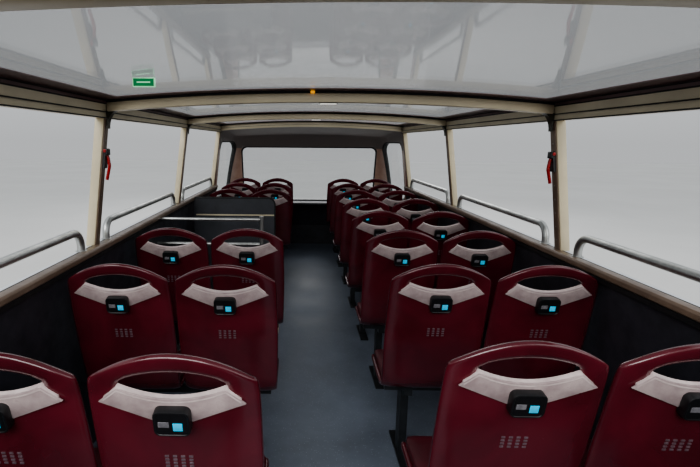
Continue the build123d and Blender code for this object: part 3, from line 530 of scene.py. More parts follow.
def disc(place, radius, depth, vertices, inset):
    """A turned disc with its top face inset and picked, in edit mode."""
    only()
    bpy.ops.mesh.primitive_cylinder_add(vertices=vertices, radius=radius, depth=depth, location=place)
    thing = bpy.context.object
    bpy.ops.object.transform_apply(location=True, rotation=True, scale=True)
    edit(thing)
    pick(thing, "FACE", lambda m, n: n.z > 0.9)
    bpy.ops.mesh.inset(thickness=inset)
    return thing


def tube(name, points, radius, bend=0.0, sides=10, steps=6):
    """A round tube along points, its corners bent to a radius."""
    corners = [Vector(p) for p in points]
    path = [corners[0]]
    for before, here, after in zip(corners, corners[1:], corners[2:]):
        a, b = (before - here).normalized(), (after - here).normalized()
        half_angle = a.angle(b) / 2
        run = bend / math.tan(half_angle)
        centre = here + (a + b).normalized() * (bend / math.sin(half_angle))
        first, last = here + a * run - centre, here + b * run - centre
        sweep = first.angle(last)
        for i in range(steps + 1):
            t = i / steps
            turned = first * math.sin((1 - t) * sweep) + last * math.sin(t * sweep)
            path.append(centre + turned / math.sin(sweep))
    path.append(corners[-1])
    only()
    bpy.ops.curve.primitive_bezier_curve_add()
    curve = bpy.context.object
    curve.name = name
    curve.data.splines.clear()
    spline = curve.data.splines.new("POLY")
    spline.points.add(len(path) - 1)
    for point, place in zip(spline.points, path):
        point.co = (*place, 1.0)
    curve.data.dimensions = "3D"
    curve.data.bevel_depth = radius
    curve.data.bevel_resolution = (sides - 4) // 2
    curve.data.use_fill_caps = True
    curve.location = (0, 0, 0)
    only(curve)
    bpy.ops.object.convert(target="MESH")
    thing = bpy.context.object
    edit(thing, "SELECT")
    bpy.ops.mesh.remove_doubles(threshold=0.05 * MM)
    bpy.ops.mesh.normals_make_consistent(inside=False)
    bpy.ops.object.mode_set(mode="OBJECT")
    return thing


def twin_of(thing, name):
    """A copy of a piece with its own mesh."""
    twin = thing.copy()
    twin.data = thing.data.copy()
    twin.name = name
    bpy.context.collection.objects.link(twin)
    return twin


def copies(thing, places, name):
    """Copies of a piece, each with its own mesh, moved to each place and joined as one."""
    made = []
    for place in places:
        twin = twin_of(thing, name)
        twin.data.transform(Matrix.Translation(place))
        made.append(twin)
    bpy.data.objects.remove(thing)
    return joined(name, *made)


def joined(name, *things):
    """Several pieces as one."""
    only(*things)
    if len(things) > 1:
        bpy.ops.object.join()
    whole = bpy.context.object
    whole.name = name
    return whole


def skin_of(node, name, cuts, leave_out, thickness):
    """Faces of a node on one side of each cut height, as a thin skin of their own."""
    skin = twin_of(frame["nodes"][node], name)
    edit(skin, "SELECT")
    bpy.ops.mesh.remove_doubles(threshold=MERGE)
    for height, above in cuts:
        bpy.ops.mesh.select_all(action="SELECT")
        clear = {"clear_inner": above, "clear_outer": not above}
        bpy.ops.mesh.bisect(plane_co=(0, 0, height), plane_no=(0, 0, 1), **clear)
    pick(skin, "FACE", leave_out)
    bpy.ops.mesh.delete(type="FACE")
    bpy.ops.object.mode_set(mode="OBJECT")
    apply_modifier(skin, "SOLIDIFY", thickness=thickness, offset=1.0)
    return skin


def done(thing, material, slot=None, replaces=(), smooth=35):
    """Finishes a piece: its shading, its material, its body and the nodes it stands for. Its slot is not
    used.
    """
    only(thing)
    bpy.ops.object.transform_apply(location=True, rotation=True, scale=True)
    bpy.ops.object.shade_smooth_by_angle(angle=math.radians(smooth))
    thing.data.materials.clear()
    thing.data.materials.append(finishes()[material])
    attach(thing, "root")
    if replaces:
        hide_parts(*replaces)
    return thing


def done_both(right, material, slot=None, replaces=()):
    """Finishes a piece on the right and its mirrored twin on the left, under the matching names."""
    left = twin_of(right, right.name.replace("right", "left"))
    left.data.transform(Matrix.Scale(-1, 4, (1, 0, 0)))
    left.data.flip_normals()
    done(right, material, slot, replaces)
    done(left, material, slot, [name.replace("right", "left") for name in replaces])


# Places that several pieces share


def canopy():
    return bpy.context.scene.deck_canopy


def rails():
    return bpy.context.scene.deck_rails


def seat_sizes():
    return bpy.context.scene.deck_seats


def beam_ys():
    """Middles of the header and the roof beams, from the front."""
    return [canopy().header_y - canopy().bay * i for i in range(4)]


def roof_z(x, drop=0.0):
    """Height of the roof arc at a distance from the middle, lowered by a drop."""
    c = canopy()
    radius = (c.half**2 + c.rise**2) / (2 * c.rise)
    return FLOOR + c.side_h + c.rise - radius + math.sqrt((radius - drop) ** 2 - x**2)


def post_x(z):
    """Inner face of the posts at a height."""
    c = canopy()
    share = (z - FLOOR - rails().sill_h) / (c.side_h - rails().sill_h)
    return c.post_foot + (c.half - c.post_foot) * share


def seat_path(s):
    """Point and lean of a seat's rear and lower face, at a distance down from its top."""
    q = seat_sizes()
    lean = math.atan2(q.reach, q.height - q.pan_h)
    heel_r, lip_r, lip_drop = 0.110, 0.021, 0.050
    heel_run = heel_r * math.tan((math.pi / 2 - lean) / 2)
    back = math.hypot(q.reach, q.height - q.pan_h) - heel_run
    heel = heel_r * (math.pi / 2 - lean)
    pan_from = q.reach + heel_run
    lip_y = q.reach + q.depth - q.shell - lip_r
    if s < back:
        return s * math.sin(lean), q.height - s * math.cos(lean), lean
    if s < back + heel:
        angle = lean + (s - back) / heel_r
        return pan_from - heel_r * math.cos(angle), q.pan_h + heel_r - heel_r * math.sin(angle), angle
    s -= back + heel
    if s < lip_y - pan_from:
        return pan_from + s, q.pan_h, math.pi / 2
    s -= lip_y - pan_from
    turn = min(s / lip_r, math.pi / 2)
    rest = min(max(0.0, s - lip_r * math.pi / 2), lip_drop - lip_r)
    return lip_y + lip_r * math.sin(turn), q.pan_h - lip_r + lip_r * math.cos(turn) - rest, math.pi / 2 - turn


def seat_places(side):
    """Places of the seats of one side of the deck."""
    q = seat_sizes()
    right = [q.first_y - q.pitch * i for i in range(q.right_rows)]
    bench = q.first_y - q.pitch * q.right_rows
    xs = (q.aisle_x, q.aisle_x + q.spacing)
    if side == "right":
        return [(q.shift + x, y, FLOOR) for y in right + [bench] for x in xs]
    rear = [q.left_rear_y - q.left_pitch * i for i in range(q.left_rear_rows)]
    rows = right[: q.left_front_rows] + rear + [bench]
    return [(q.shift - x, y, FLOOR) for y in rows for x in xs] + [(q.shift, bench, FLOOR)]


def every_seat():
    """Places of all the seats."""
    return seat_places("right") + seat_places("left")


def on_back():
    """Turns a piece drawn flat, X across and Y up, onto a seat's rear face, its Z outwards."""
    q = seat_sizes()
    lean = math.atan2(q.reach, q.height - q.pan_h)
    up, out = Vector((0, -math.sin(lean), math.cos(lean))), Vector((0, -math.cos(lean), -math.sin(lean)))
    turned = Matrix((Vector((1, 0, 0)), up, out)).transposed().to_4x4()
    return Matrix.Translation((0, 0, q.height)) @ turned


# Pieces


class DECK_OT_seat_shells(bpy.types.Operator):
    """Moulded seat shells, back and pan in one, with a lens shaped hand slot"""

    bl_idname = "deck.seat_shells"
    bl_label = "Seat shells"

    def execute(self, context):
        # The hand slot ends at this share of the half width, in this column and between these rows
        slot_share, slot_column, slot_rows = 0.62, 3, (2, 3)
        columns = (0.0, 0.21, 0.42, slot_share, 0.79, 0.92, 1.0)
        # Rows down the shell in millimetres: at the middle, at the slot's end, at the edge, half width
        rows = [
            (4, None, 80, 211), (15, None, 93, 215), (58, 84, 114, 217), (128, 103, 137, 218),
            (168, None, 168, 219), (216, None, 216, 220), (290, None, 290, 221), (380, None, 380, 222),
            (480, None, 480, 220), (560, None, 560, 217), (601, None, 601, 216), (651, None, 651, 214),
            (701, None, 701, 213), (751, None, 751, 212), (830, None, 830, 211), (920, None, 920, 210),
            (1000, None, 1000, 209), (1021, None, 1021, 208), (1038, None, 1034, 204),
            (1054, None, 1044, 198), (1082, None, 1066, 190),
        ]
        # How far the sides turn forward: their outer part, from this share of the half width, and all of it
        outer_wing, outer_from, whole_wing = 0.010, 0.7, 0.003
        drawn_share = 0.86  # Share of the shell's thickness that is drawn
        across, down = 2 * len(columns) - 2, len(rows) - 1
        only()
        bpy.ops.mesh.primitive_grid_add(x_subdivisions=across, y_subdivisions=down, size=1.0)
        shell = bpy.context.object
        cells = {}
        for vertex in shell.data.vertices:
            column = round((vertex.co.x + 0.5) * across) - (len(columns) - 1)
            row = round((0.5 - vertex.co.y) * down)
            cells[vertex.index] = (row, abs(column))
            f = columns[abs(column)]
            middle, end, edge, half = rows[row]
            if end is None:
                s = middle + (edge - middle) * f**2
            elif f <= slot_share:
                s = middle + (end - middle) * (f / slot_share) ** 2
            else:
                s = end + (edge - end) * (f - slot_share) / (1 - slot_share)
            y, z, lean = seat_path(s * MM)
            wing = outer_wing * max(0.0, (f - outer_from) / (1 - outer_from)) ** 2 + whole_wing * f**2
            x = math.copysign(half * f * MM, column)
            vertex.co = (x, y + wing * math.cos(lean), z + wing * math.sin(lean))
        edit(shell)
        bpy.ops.object.mode_set(mode="OBJECT")
        for face in shell.data.polygons:
            face.select = all(cells[v][0] in slot_rows and cells[v][1] <= slot_column for v in face.vertices)
        bpy.ops.object.mode_set(mode="EDIT")
        bpy.ops.mesh.select_mode(type="FACE")
        bpy.ops.mesh.delete(type="FACE")
        bpy.ops.object.mode_set(mode="OBJECT")
        thickness = seat_sizes().shell * drawn_share
        apply_modifier(shell, "SOLIDIFY", thickness=thickness, offset=-1.0, use_even_offset=True)
        apply_modifier(shell, "SUBSURF", levels=1, render_levels=1)
        for side in ("left", "right"):
            whole = copies(twin_of(shell, "seat_shell"), seat_places(side), f"seat_shells_{side}")
            done(whole, "seat_moulding", smooth=60, replaces=("seat_backs", "seat_pans"))
        bpy.data.objects.remove(shell)
        return {"FINISHED"}


class DECK_OT_seat_fittings(bpy.types.Operator):
    """Pale inserts, audio units and grilles on the backs of the seats"""

    bl_idname = "deck.seat_fittings"
    bl_label = "Seat fittings"

    def execute(self, context):
        def fit(piece, name, material, **finish):
            """Turns a piece onto the back of every seat."""
            piece.data.transform(on_back())
            done(copies(piece, every_seat(), name), material, **finish)

        # The insert: its top edge follows the hand slot, then runs out to the tips
        slot_half, tip = 0.133, (0.182, -0.137, 0.0)
        outline = [(slot_half * t, -0.127 + 0.031 * t**2, 0.0) for t in (-1 + i / 4 for i in range(9))]
        outline += [tip, (0.046, -0.196, 0.0), (-0.046, -0.196, 0.0), (-tip[0], *tip[1:])]
        insert = drawn_through("seat_insert", outline, [(0, 0, 0.006)], 0.0018, 2)
        fit(insert, "seat_inserts_dressed", "seat_insert", replaces=("seat_inserts",))

        box = block("audio_unit", (-0.045, -0.220, 0.003), (0.045, -0.145, 0.030))
        edit(box)
        pick(box, "EDGE", lambda m, d: abs(d.z) > 0.9)
        bpy.ops.mesh.bevel(offset=0.016, segments=4)
        pick(box, "FACE", lambda m, n: n.z > 0.9)
        bpy.ops.mesh.inset(thickness=0.004, depth=0.0)
        bpy.ops.mesh.inset(thickness=0.0015, depth=-0.0012)
        bpy.ops.object.mode_set(mode="OBJECT")
        rounded(box, 0.0025, 2, 50)
        fit(box, "audio_units_dressed", "black_plastic", replaces=("audio_units",))

        # The lip round the hand slot: coloured paler than the insert, a painted highlight
        end = (0.170, -0.126)
        xs = [slot_half * (-1 + i / 8) for i in range(17)]
        lip = [(-end[0], end[1])] + [(x, -0.128 + 0.033 * (x / slot_half) ** 2) for x in xs] + [end]
        across = [(0.003, -0.012), (-0.001, 0.0050), (-0.009, 0.0070), (-0.012, 0.0052), (-0.012, 0.0)]
        section = [(lip[0][0], lip[0][1] + a, b) for a, b in across]
        moves = [(b[0] - a[0], b[1] - a[1], 0) for a, b in zip(lip, lip[1:])]
        slot_lip = drawn_through("slot_lip", section, moves, 0.0012, 1)
        fit(slot_lip, "seat_slot_lips", "slot_lip", slot="seat_insert", smooth=50)

        label = block("audio_label", (-0.033, -0.192, 0.0286), (-0.006, -0.175, 0.0296), 0.0004, 1)
        fit(label, "audio_labels", "label", slot="seat_insert")
        lamp = block("audio_lamp", (0.003, -0.202, 0.0286), (0.027, -0.178, 0.0304), 0.001, 2)
        fit(lamp, "audio_lamps", "lamp_cyan", slot="lamp_white")

        # The grille: four by four marks, each given by half its width and half its height
        # The marks are paler than the seat: a painted highlight on their ribs
        half_w, half_h, step_x, step_y, first_y, slots = 0.0052, 0.0028, 0.021, 0.0115, -0.318, []
        for i in range(4):
            for j in range(4):
                x, y = (i - 1.5) * step_x, first_y - j * step_y
                corners = (x - half_w, y - half_h, -0.004), (x + half_w, y + half_h, 0.0021)
                slots.append(block("grille_slot", *corners))
        fit(joined("seat_grille", *slots), "seat_grilles", "grille", slot="seat_insert")
        return {"FINISHED"}


class DECK_OT_cushions(bpy.types.Operator):
    """Vinyl covered foam cushions, crowned and grooved"""

    bl_idname = "deck.cushions"
    bl_label = "Cushions"

    def execute(self, context):
        low, high, top = (-0.192, 0.194, 0.455), (0.192, 0.517, 0.498), 0.4985
        crown_h, edge_h, pull_in, groove_d, groove_at, groove_w = 0.010, 0.008, 0.012, 0.004, 0.62, 0.05
        cushion = block("cushion", low, high)
        edit(cushion, "SELECT")
        bpy.ops.mesh.subdivide(number_cuts=5)
        bpy.ops.object.mode_set(mode="OBJECT")
        middle = [(a + b) / 2 for a, b in zip(low, high)]
        size = [(b - a) / 2 for a, b in zip(low, high)]
        for vertex in cushion.data.vertices:
            u, v, w = ((vertex.co[i] - middle[i]) / size[i] for i in range(3))
            crown = (1 - u**4) * (1 - v**4)
            edge = max(abs(u), abs(v)) ** 8
            pull = 1 - sum(pull_in * (1 - a**2) for a, b in ((u, v), (v, u)) if abs(b) > 0.99)
            z = vertex.co.z + (crown_h * crown - edge_h * edge if w > 0 else 0.0)
            groove = groove_d * math.exp(-(((abs(u) - groove_at) / groove_w) ** 2)) if w > 0.9 else 0.0
            vertex.co = (middle[0] + u * size[0] * pull, middle[1] + v * size[1] * pull, min(z - groove, top))
        apply_modifier(cushion, "SUBSURF", levels=1, render_levels=1)
        pads = copies(cushion, every_seat(), "seat_cushions")
        done(pads, "seat_vinyl", smooth=60, replaces=("seat_pads",))
        return {"FINISHED"}


class DECK_OT_guard_rails(bpy.types.Operator):
    """Bent stainless guard rails with flanges"""

    bl_idname = "deck.guard_rails"
    bl_label = "Guard rails"

    def execute(self, context):
        r = rails()
        foot = FLOOR + r.sill_h
        for side, sign in (("right", 1), ("left", -1)):
            low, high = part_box(f"guard_rails_{side}")
            x = sign * (abs(low.x) + abs(high.x)) / 2
            ys = beam_ys()
            bays = list(zip(ys, ys[1:]))
            rear = low.y + r.tube_r - r.guard_end
            count = max(1, round((ys[-1] - rear) / canopy().bay))
            step = (ys[-1] - rear) / count
            bays += [(ys[-1] - step * i, ys[-1] - step * (i + 1)) for i in range(count)]
            parts = []
            for front, back in bays:
                parts += self.hoop((x, front - r.guard_end), (x, back + r.guard_end), foot, high.z - r.tube_r)
            whole = joined(f"guard_tubes_{side}", *parts)
            done(whole, "stainless", smooth=40, replaces=(f"guard_rails_{side}",))
        low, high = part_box("rear_guard_rail")
        x, y = high.x - r.tube_r, (low.y + high.y) / 2
        parts = self.hoop((-x, y), (x, y), foot, high.z - r.tube_r)
        done(joined("rear_guard_tube", *parts), "stainless", smooth=40, replaces=("rear_guard_rail",))
        return {"FINISHED"}

    def hoop(self, start, end, foot, top):
        """A rail between two places, bent down at both ends, with a turned flange round each foot."""
        points = [(*start, foot), (*start, top), (*end, top), (*end, foot)]
        parts = [tube("rail", points, rails().tube_r, rails().guard_bend, 16, 8)]
        for x, y in (start, end):
            flange = disc((x, y, foot + 0.002), 0.026, 0.004, 20, 0.008)
            bpy.ops.mesh.extrude_region_move(TRANSFORM_OT_translate={"value": (0, 0, 0.004)})
            bpy.ops.object.mode_set(mode="OBJECT")
            rounded(flange, 0.001, 1)
            parts.append(flange)
        return parts


class DECK_OT_sills(bpy.types.Operator):
    """Rounded bronze nose along the inner edge of each sill, with its line, shadow gap and screws"""

    bl_idname = "deck.sills"
    bl_label = "Sills"

    def execute(self, context):
        top = FLOOR + rails().sill_h
        low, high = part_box("sill_right")
        x, y0, y1, screw_step = low.x, low.y, high.y, 0.4
        section = [
            (0.034, 0.0), (0.032, 0.003), (-0.004, 0.003), (-0.010, -0.006),
            (-0.010, -0.024), (-0.004, -0.030), (0.012, -0.030), (0.012, 0.0),
        ]
        nose = [(x + out, y1, top + up) for out, up in section]
        done_both(drawn_through("sill_nose_right", nose, [(0, y0 - y1, 0)], 0.002, 2), "bronze")
        corners = (x + 0.034, y0, top - 0.001), (x + 0.041, y1, top + 0.0022)
        done_both(block("sill_line_right", *corners, 0.0006, 1), "seal_rubber")
        # A black strip in the gap under the nose: painted shade, finished as rubber
        corners = (x - 0.004, y0, top - 0.052), (x + 0.012, y1, top - 0.030)
        done_both(block("sill_shadow_right", *corners, 0.002, 1), "seal_rubber")
        screw = disc((x + 0.014, y1 - 0.06, top), 0.0045, 0.0016, 12, 0.0024)
        bpy.ops.transform.translate(value=(0, 0, -0.0006))
        bpy.ops.object.mode_set(mode="OBJECT")
        places = [(0, -screw_step * i, 0) for i in range(int((y1 - y0) / screw_step))]
        done_both(copies(screw, places, "sill_screws_right"), "screw", slot="stainless")
        return {"FINISHED"}


class DECK_OT_posts(bpy.types.Operator):
    """Window posts: a cream cover and a screwed bronze strip on each"""

    bl_idname = "deck.posts"
    bl_label = "Posts"

    def execute(self, context):
        foot, head = FLOOR + rails().sill_h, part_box("posts_right")[1].z
        half, depth = canopy().post_w / 2, canopy().post_d
        strip_half, screws_each, screw_r = half - 0.007, 9, 0.0034

        def leaning(name, y_from, y_to, out_from, out_to, bevel):
            """A leaning bar between two places along the deck and two depths from the posts' inner face."""
            a, b = post_x(foot), post_x(head)
            corners = ((out_from, y_from), (out_to, y_from), (out_to, y_to), (out_from, y_to))
            outline = [(a + out, y, foot) for out, y in corners]
            return drawn_through(name, outline, [(b - a, 0, head - foot)], bevel, 2)

        covers, strips, screws = [], [], []
        for y in beam_ys():
            covers.append(leaning("post_cover", y - half, y + half, 0.002, depth, 0.004))
            strips.append(leaning("post_strip", y - strip_half, y + strip_half, -0.003, 0.006, 0.0015))
            for i in range(screws_each):
                z = foot + 0.05 + i * (head - foot - 0.09) / (screws_each - 1)
                screws.append((post_x(z) - screw_r, y, z))
        done_both(joined("post_covers_right", *covers), "cream_aluminium", replaces=("posts_right",))
        done_both(joined("post_strips_right", *strips), "bronze")
        heads = copies(ball("post_screw", screw_r, 0.5), screws, "post_screws_right")
        done_both(heads, "screw", slot="stainless")
        return {"FINISHED"}


class DECK_OT_beams(bpy.types.Operator):
    """Roof beams with a black gasket along the top, and the painted band round each roof pane"""

    bl_idname = "deck.beams"
    bl_label = "Roof beams"

    def execute(self, context):
        c = canopy()
        # Drops below the roof arc, less than nothing above it
        gasket, band_top, band_foot = 0.010, -0.0035, -0.0008
        line_at, line_h = 0.58, 0.003  # Share of the header's depth, and height
        bodies, gaskets, bands = [], [], []
        ys = beam_ys()
        for i, y in enumerate(ys):
            w, d = (c.header_w, c.header_d) if i == 0 else (c.beam_w, c.beam_d)
            gaskets.append(self.arch("beam_gasket", y, w + 0.004, 0.0, gasket, 0.0))
            bodies.append(self.arch("beam_body", y, w, gasket, d, 0.005))
            if i == 0:
                gaskets.append(self.arch("header_line", y, w + 0.002, line_at * d, line_at * d + line_h, 0.0))
            beside = w / 2 + c.glass_band / 2
            if i + 1 < len(ys):
                bands.append(self.arch("roof_band", y - beside, c.glass_band, band_top, band_foot, 0.0))
            if i:
                bands.append(self.arch("roof_band", y + beside, c.glass_band, band_top, band_foot, 0.0))
        done(joined("beam_bodies", *bodies), "cream_aluminium", replaces=("roof_beams", "header_beam"))
        done(joined("beam_gaskets", *gaskets), "seal_rubber")
        for side in (1, -1):
            xs = [side * (c.half - c.glass_band * i / 3) for i in range(4)]
            under = [(x, ys[0], roof_z(x, band_foot)) for x in xs]
            over = [(x, ys[0], roof_z(x, band_top)) for x in reversed(xs)]
            bands.append(drawn_through("roof_band", under + over, [(0, ys[-1] - ys[0], 0)]))
        done(joined("roof_bands", *bands), "band", slot="seal_rubber")
        return {"FINISHED"}

    def arch(self, name, y, width, top, bottom, bevel):
        """One band of a beam, drawn across the deck along the roof's arc."""
        half, steps = canopy().half, 24
        xs = [-half + 2 * half * i / steps for i in range(steps + 1)]
        corners = ((-width / 2, top), (width / 2, top), (width / 2, bottom), (-width / 2, bottom))
        outline = [(xs[0], y + along, roof_z(xs[0], drop)) for along, drop in corners]
        moves = [(b - a, 0, roof_z(b) - roof_z(a)) for a, b in zip(xs, xs[1:])]
        return drawn_through(name, outline, moves, bevel, 2)


class DECK_OT_knees(bpy.types.Operator):
    """Slim concave knees between posts and beams"""

    bl_idname = "deck.knees"
    bl_label = "Knees"

    def execute(self, context):
        c = canopy()
        reach, drop, wide, steps = 0.052, 0.085, 0.036, 8
        x0, z0 = c.half + 0.004, roof_z(c.half - 0.02, c.beam_d) + 0.003
        angles = [math.pi / 2 * (1 - i / steps) for i in range(steps + 1)]
        knees = []
        for y in beam_ys()[1:]:
            curve = [(x0 - reach + reach * math.cos(a), z0 - drop + drop * math.sin(a)) for a in angles]
            outline = [(x, y - wide / 2, z) for x, z in [(x0 + 0.004, z0)] + curve]
            knees.append(drawn_through("knee", outline, [(0, wide, 0)], 0.002, 1))
        done_both(joined("knees_right", *knees), "knee_paint", slot="steel_frame", replaces=("knees",))
        return {"FINISHED"}


class DECK_OT_cap_trim(bpy.types.Operator):
    """Trim on the inner faces of the front cap: laminate round the windows, felt above"""

    bl_idname = "deck.cap_trim"
    bl_label = "Cap trim"

    def execute(self, context):
        low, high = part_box("front_cap")
        split, flat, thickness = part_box("windscreen")[1].z - 0.006, 0.999, 3 * MM
        heart = Vector((0, low.y + 0.35 * (high.y - low.y), low.z + 0.4 * (high.z - low.z)))
        for name, above, lowest, material, slot in (
            ("cap_trim", False, -0.55, "pillar_laminate", "cream_aluminium"),
            ("cap_felt", True, -0.98, "cap_lining", None),
        ):

            def hidden(m, n):
                """Faces that look out of the cap, down, or flat along the deck."""
                return n.dot((heart - m).normalized()) < FACING or n.z < lowest or abs(n.y) > flat

            skin = skin_of("front_cap", name, [(split, above)], hidden, thickness)
            done(skin, material, slot=slot, smooth=40)
        return {"FINISHED"}


class DECK_OT_fittings(bpy.types.Operator):
    """Hammers, exit sign and lamps"""

    bl_idname = "deck.fittings"
    bl_label = "Small fittings"

    def execute(self, context):
        low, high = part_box("hammers")
        y, z0, z1 = (low.y + high.y) / 2, low.z, high.z
        x = post_x((z0 + z1) / 2) - 0.018
        bends = ((0.006, z1 - 0.018), (-0.006, z1 - 0.045), (-0.011, z0 + 0.045), (0.006, z0 - 0.024))
        handle = tube("hammer", [(x + out, y, z) for out, z in bends], 0.0075, 0.03, 12, 6)
        ends = [(x + 0.002, y + along, z1 - 0.014) for along in (-0.021, 0.021)]
        head = tube("hammer_head", ends, 0.008, 0.0, 12)
        rounded(head, 0.002, 2, 50)
        done_both(joined("hammers_right", handle, head), "red_plastic", replaces=("hammers",))
        corners = (x - 0.013, y - 0.017, z1 - 0.036), (x + 0.018, y + 0.017, z1 - 0.003)
        done_both(block("hammer_hook_right", *corners, 0.005, 3), "black_plastic")

        low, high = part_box("exit_sign")
        rim, margin, bar, middle = 0.0028, 0.016, 0.0022, (low.z + high.z) / 2
        sign = block("exit_sign_body", low, high, 0.002, 2)
        done(sign, "sign_edge", slot="sign_green", replaces=("exit_sign",))
        corners = (low.x + rim, low.y - 0.0008, low.z + rim), (high.x - rim, low.y + 0.004, high.z - rim)
        done(block("exit_sign_face", *corners, 0.001, 1), "sign_green")
        corners = (low.x + margin, low.y - 0.0014, middle - bar), (high.x - margin, low.y, middle + bar)
        done(block("exit_sign_bar", *corners, 0.0004, 1), "sign_edge", slot="sign_green")

        y, z = beam_ys()[2] - canopy().beam_w / 2, roof_z(0.075)
        amber = block("amber_lamp", (-0.085, y - 0.022, z - 0.014), (-0.065, y - 0.012, z - 0.001), 0.003, 2)
        done(amber, "lamp_amber", slot="lamp_white")
        # Half length, half width and depth of a lens and of its rim, and the lift of a flush lamp
        lens_size, rim_size, flush = (0.040, 0.011, 0.008), (0.045, 0.015, 0.004), 0.0075
        lamps, rims = [], []
        for y in beam_ys()[1:]:
            # The rearmost lamp is flush with its beam
            top = roof_z(0, canopy().beam_d) + (flush if y == beam_ys()[-1] else 0.0)
            lamps.append(self.oval("lamp", y, top, *lens_size))
            rims.append(self.oval("lamp_rim", y, top, *rim_size))
        done(joined("lamp_lenses", *lamps), "lamp_white", replaces=("ceiling_lamps",), smooth=50)
        done(joined("lamp_rims", *rims), "black_plastic")
        return {"FINISHED"}

    def oval(self, name, y, top, half_long, half_wide, depth, points=24):
        """An oval dome hung below a beam."""
        outline = []
        for i in range(points):
            angle = 2 * math.pi * i / points
            shift = (half_long - half_wide) * (1 if math.cos(angle) > 0 else -1)
            outline.append((shift + half_wide * math.cos(angle), y + half_wide * math.sin(angle), top))
        return drawn_through(name, outline, [(0, 0, -depth)], depth * 0.4, 3)


class DECK_OT_stair_trim(bpy.types.Operator):
    """Edge trim and strip on the stair board"""

    bl_idname = "deck.stair_trim"
    bl_label = "Stair trim"

    def execute(self, context):
        low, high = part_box("stair_board")
        foot, head = high.z - 0.165, high.z - 0.152
        corners = (low.x + 0.02, low.y - 0.002, foot), (high.x - 0.004, low.y + 0.001, head)
        done(block("board_strip", *corners, 0.0008, 1), "cream_aluminium")
        y = (low.y + high.y) / 2
        points = [(low.x + 0.01, y, high.z), (high.x, y, high.z), (high.x, y, low.z + 0.02)]
        done(tube("board_edge", points, 0.0105, 0.06, 10, 8), "seal_rubber", smooth=50)
        return {"FINISHED"}


class DECK_OT_roof_edges(bpy.types.Operator):
    """Bands and black lines along the inner face of each cant rail"""

    bl_idname = "deck.roof_edges"
    bl_label = "Roof edges"

    def execute(self, context):
        low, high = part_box("cant_rail_right")
        top = FLOOR + canopy().side_h

        def along(name, proud, drop, deep):
            """A thin strip along the rail, from a drop below its top edge."""
            corners = (low.x - proud, low.y, top - drop - deep), (low.x + 0.006, high.y, top - drop)
            return block(name, *corners, 0.0006, 1)

        drops = ((-0.003, 0.006), (0.014, 0.005), (0.052, 0.004), (0.079, 0.005))
        lines = [along("cant_line", 0.0018, drop, deep) for drop, deep in drops]
        done_both(joined("cant_lines_right", *lines), "seal_rubber")
        done_both(along("cant_band_right", 0.0012, 0.003, 0.011), "band", slot="seal_rubber")
        return {"FINISHED"}


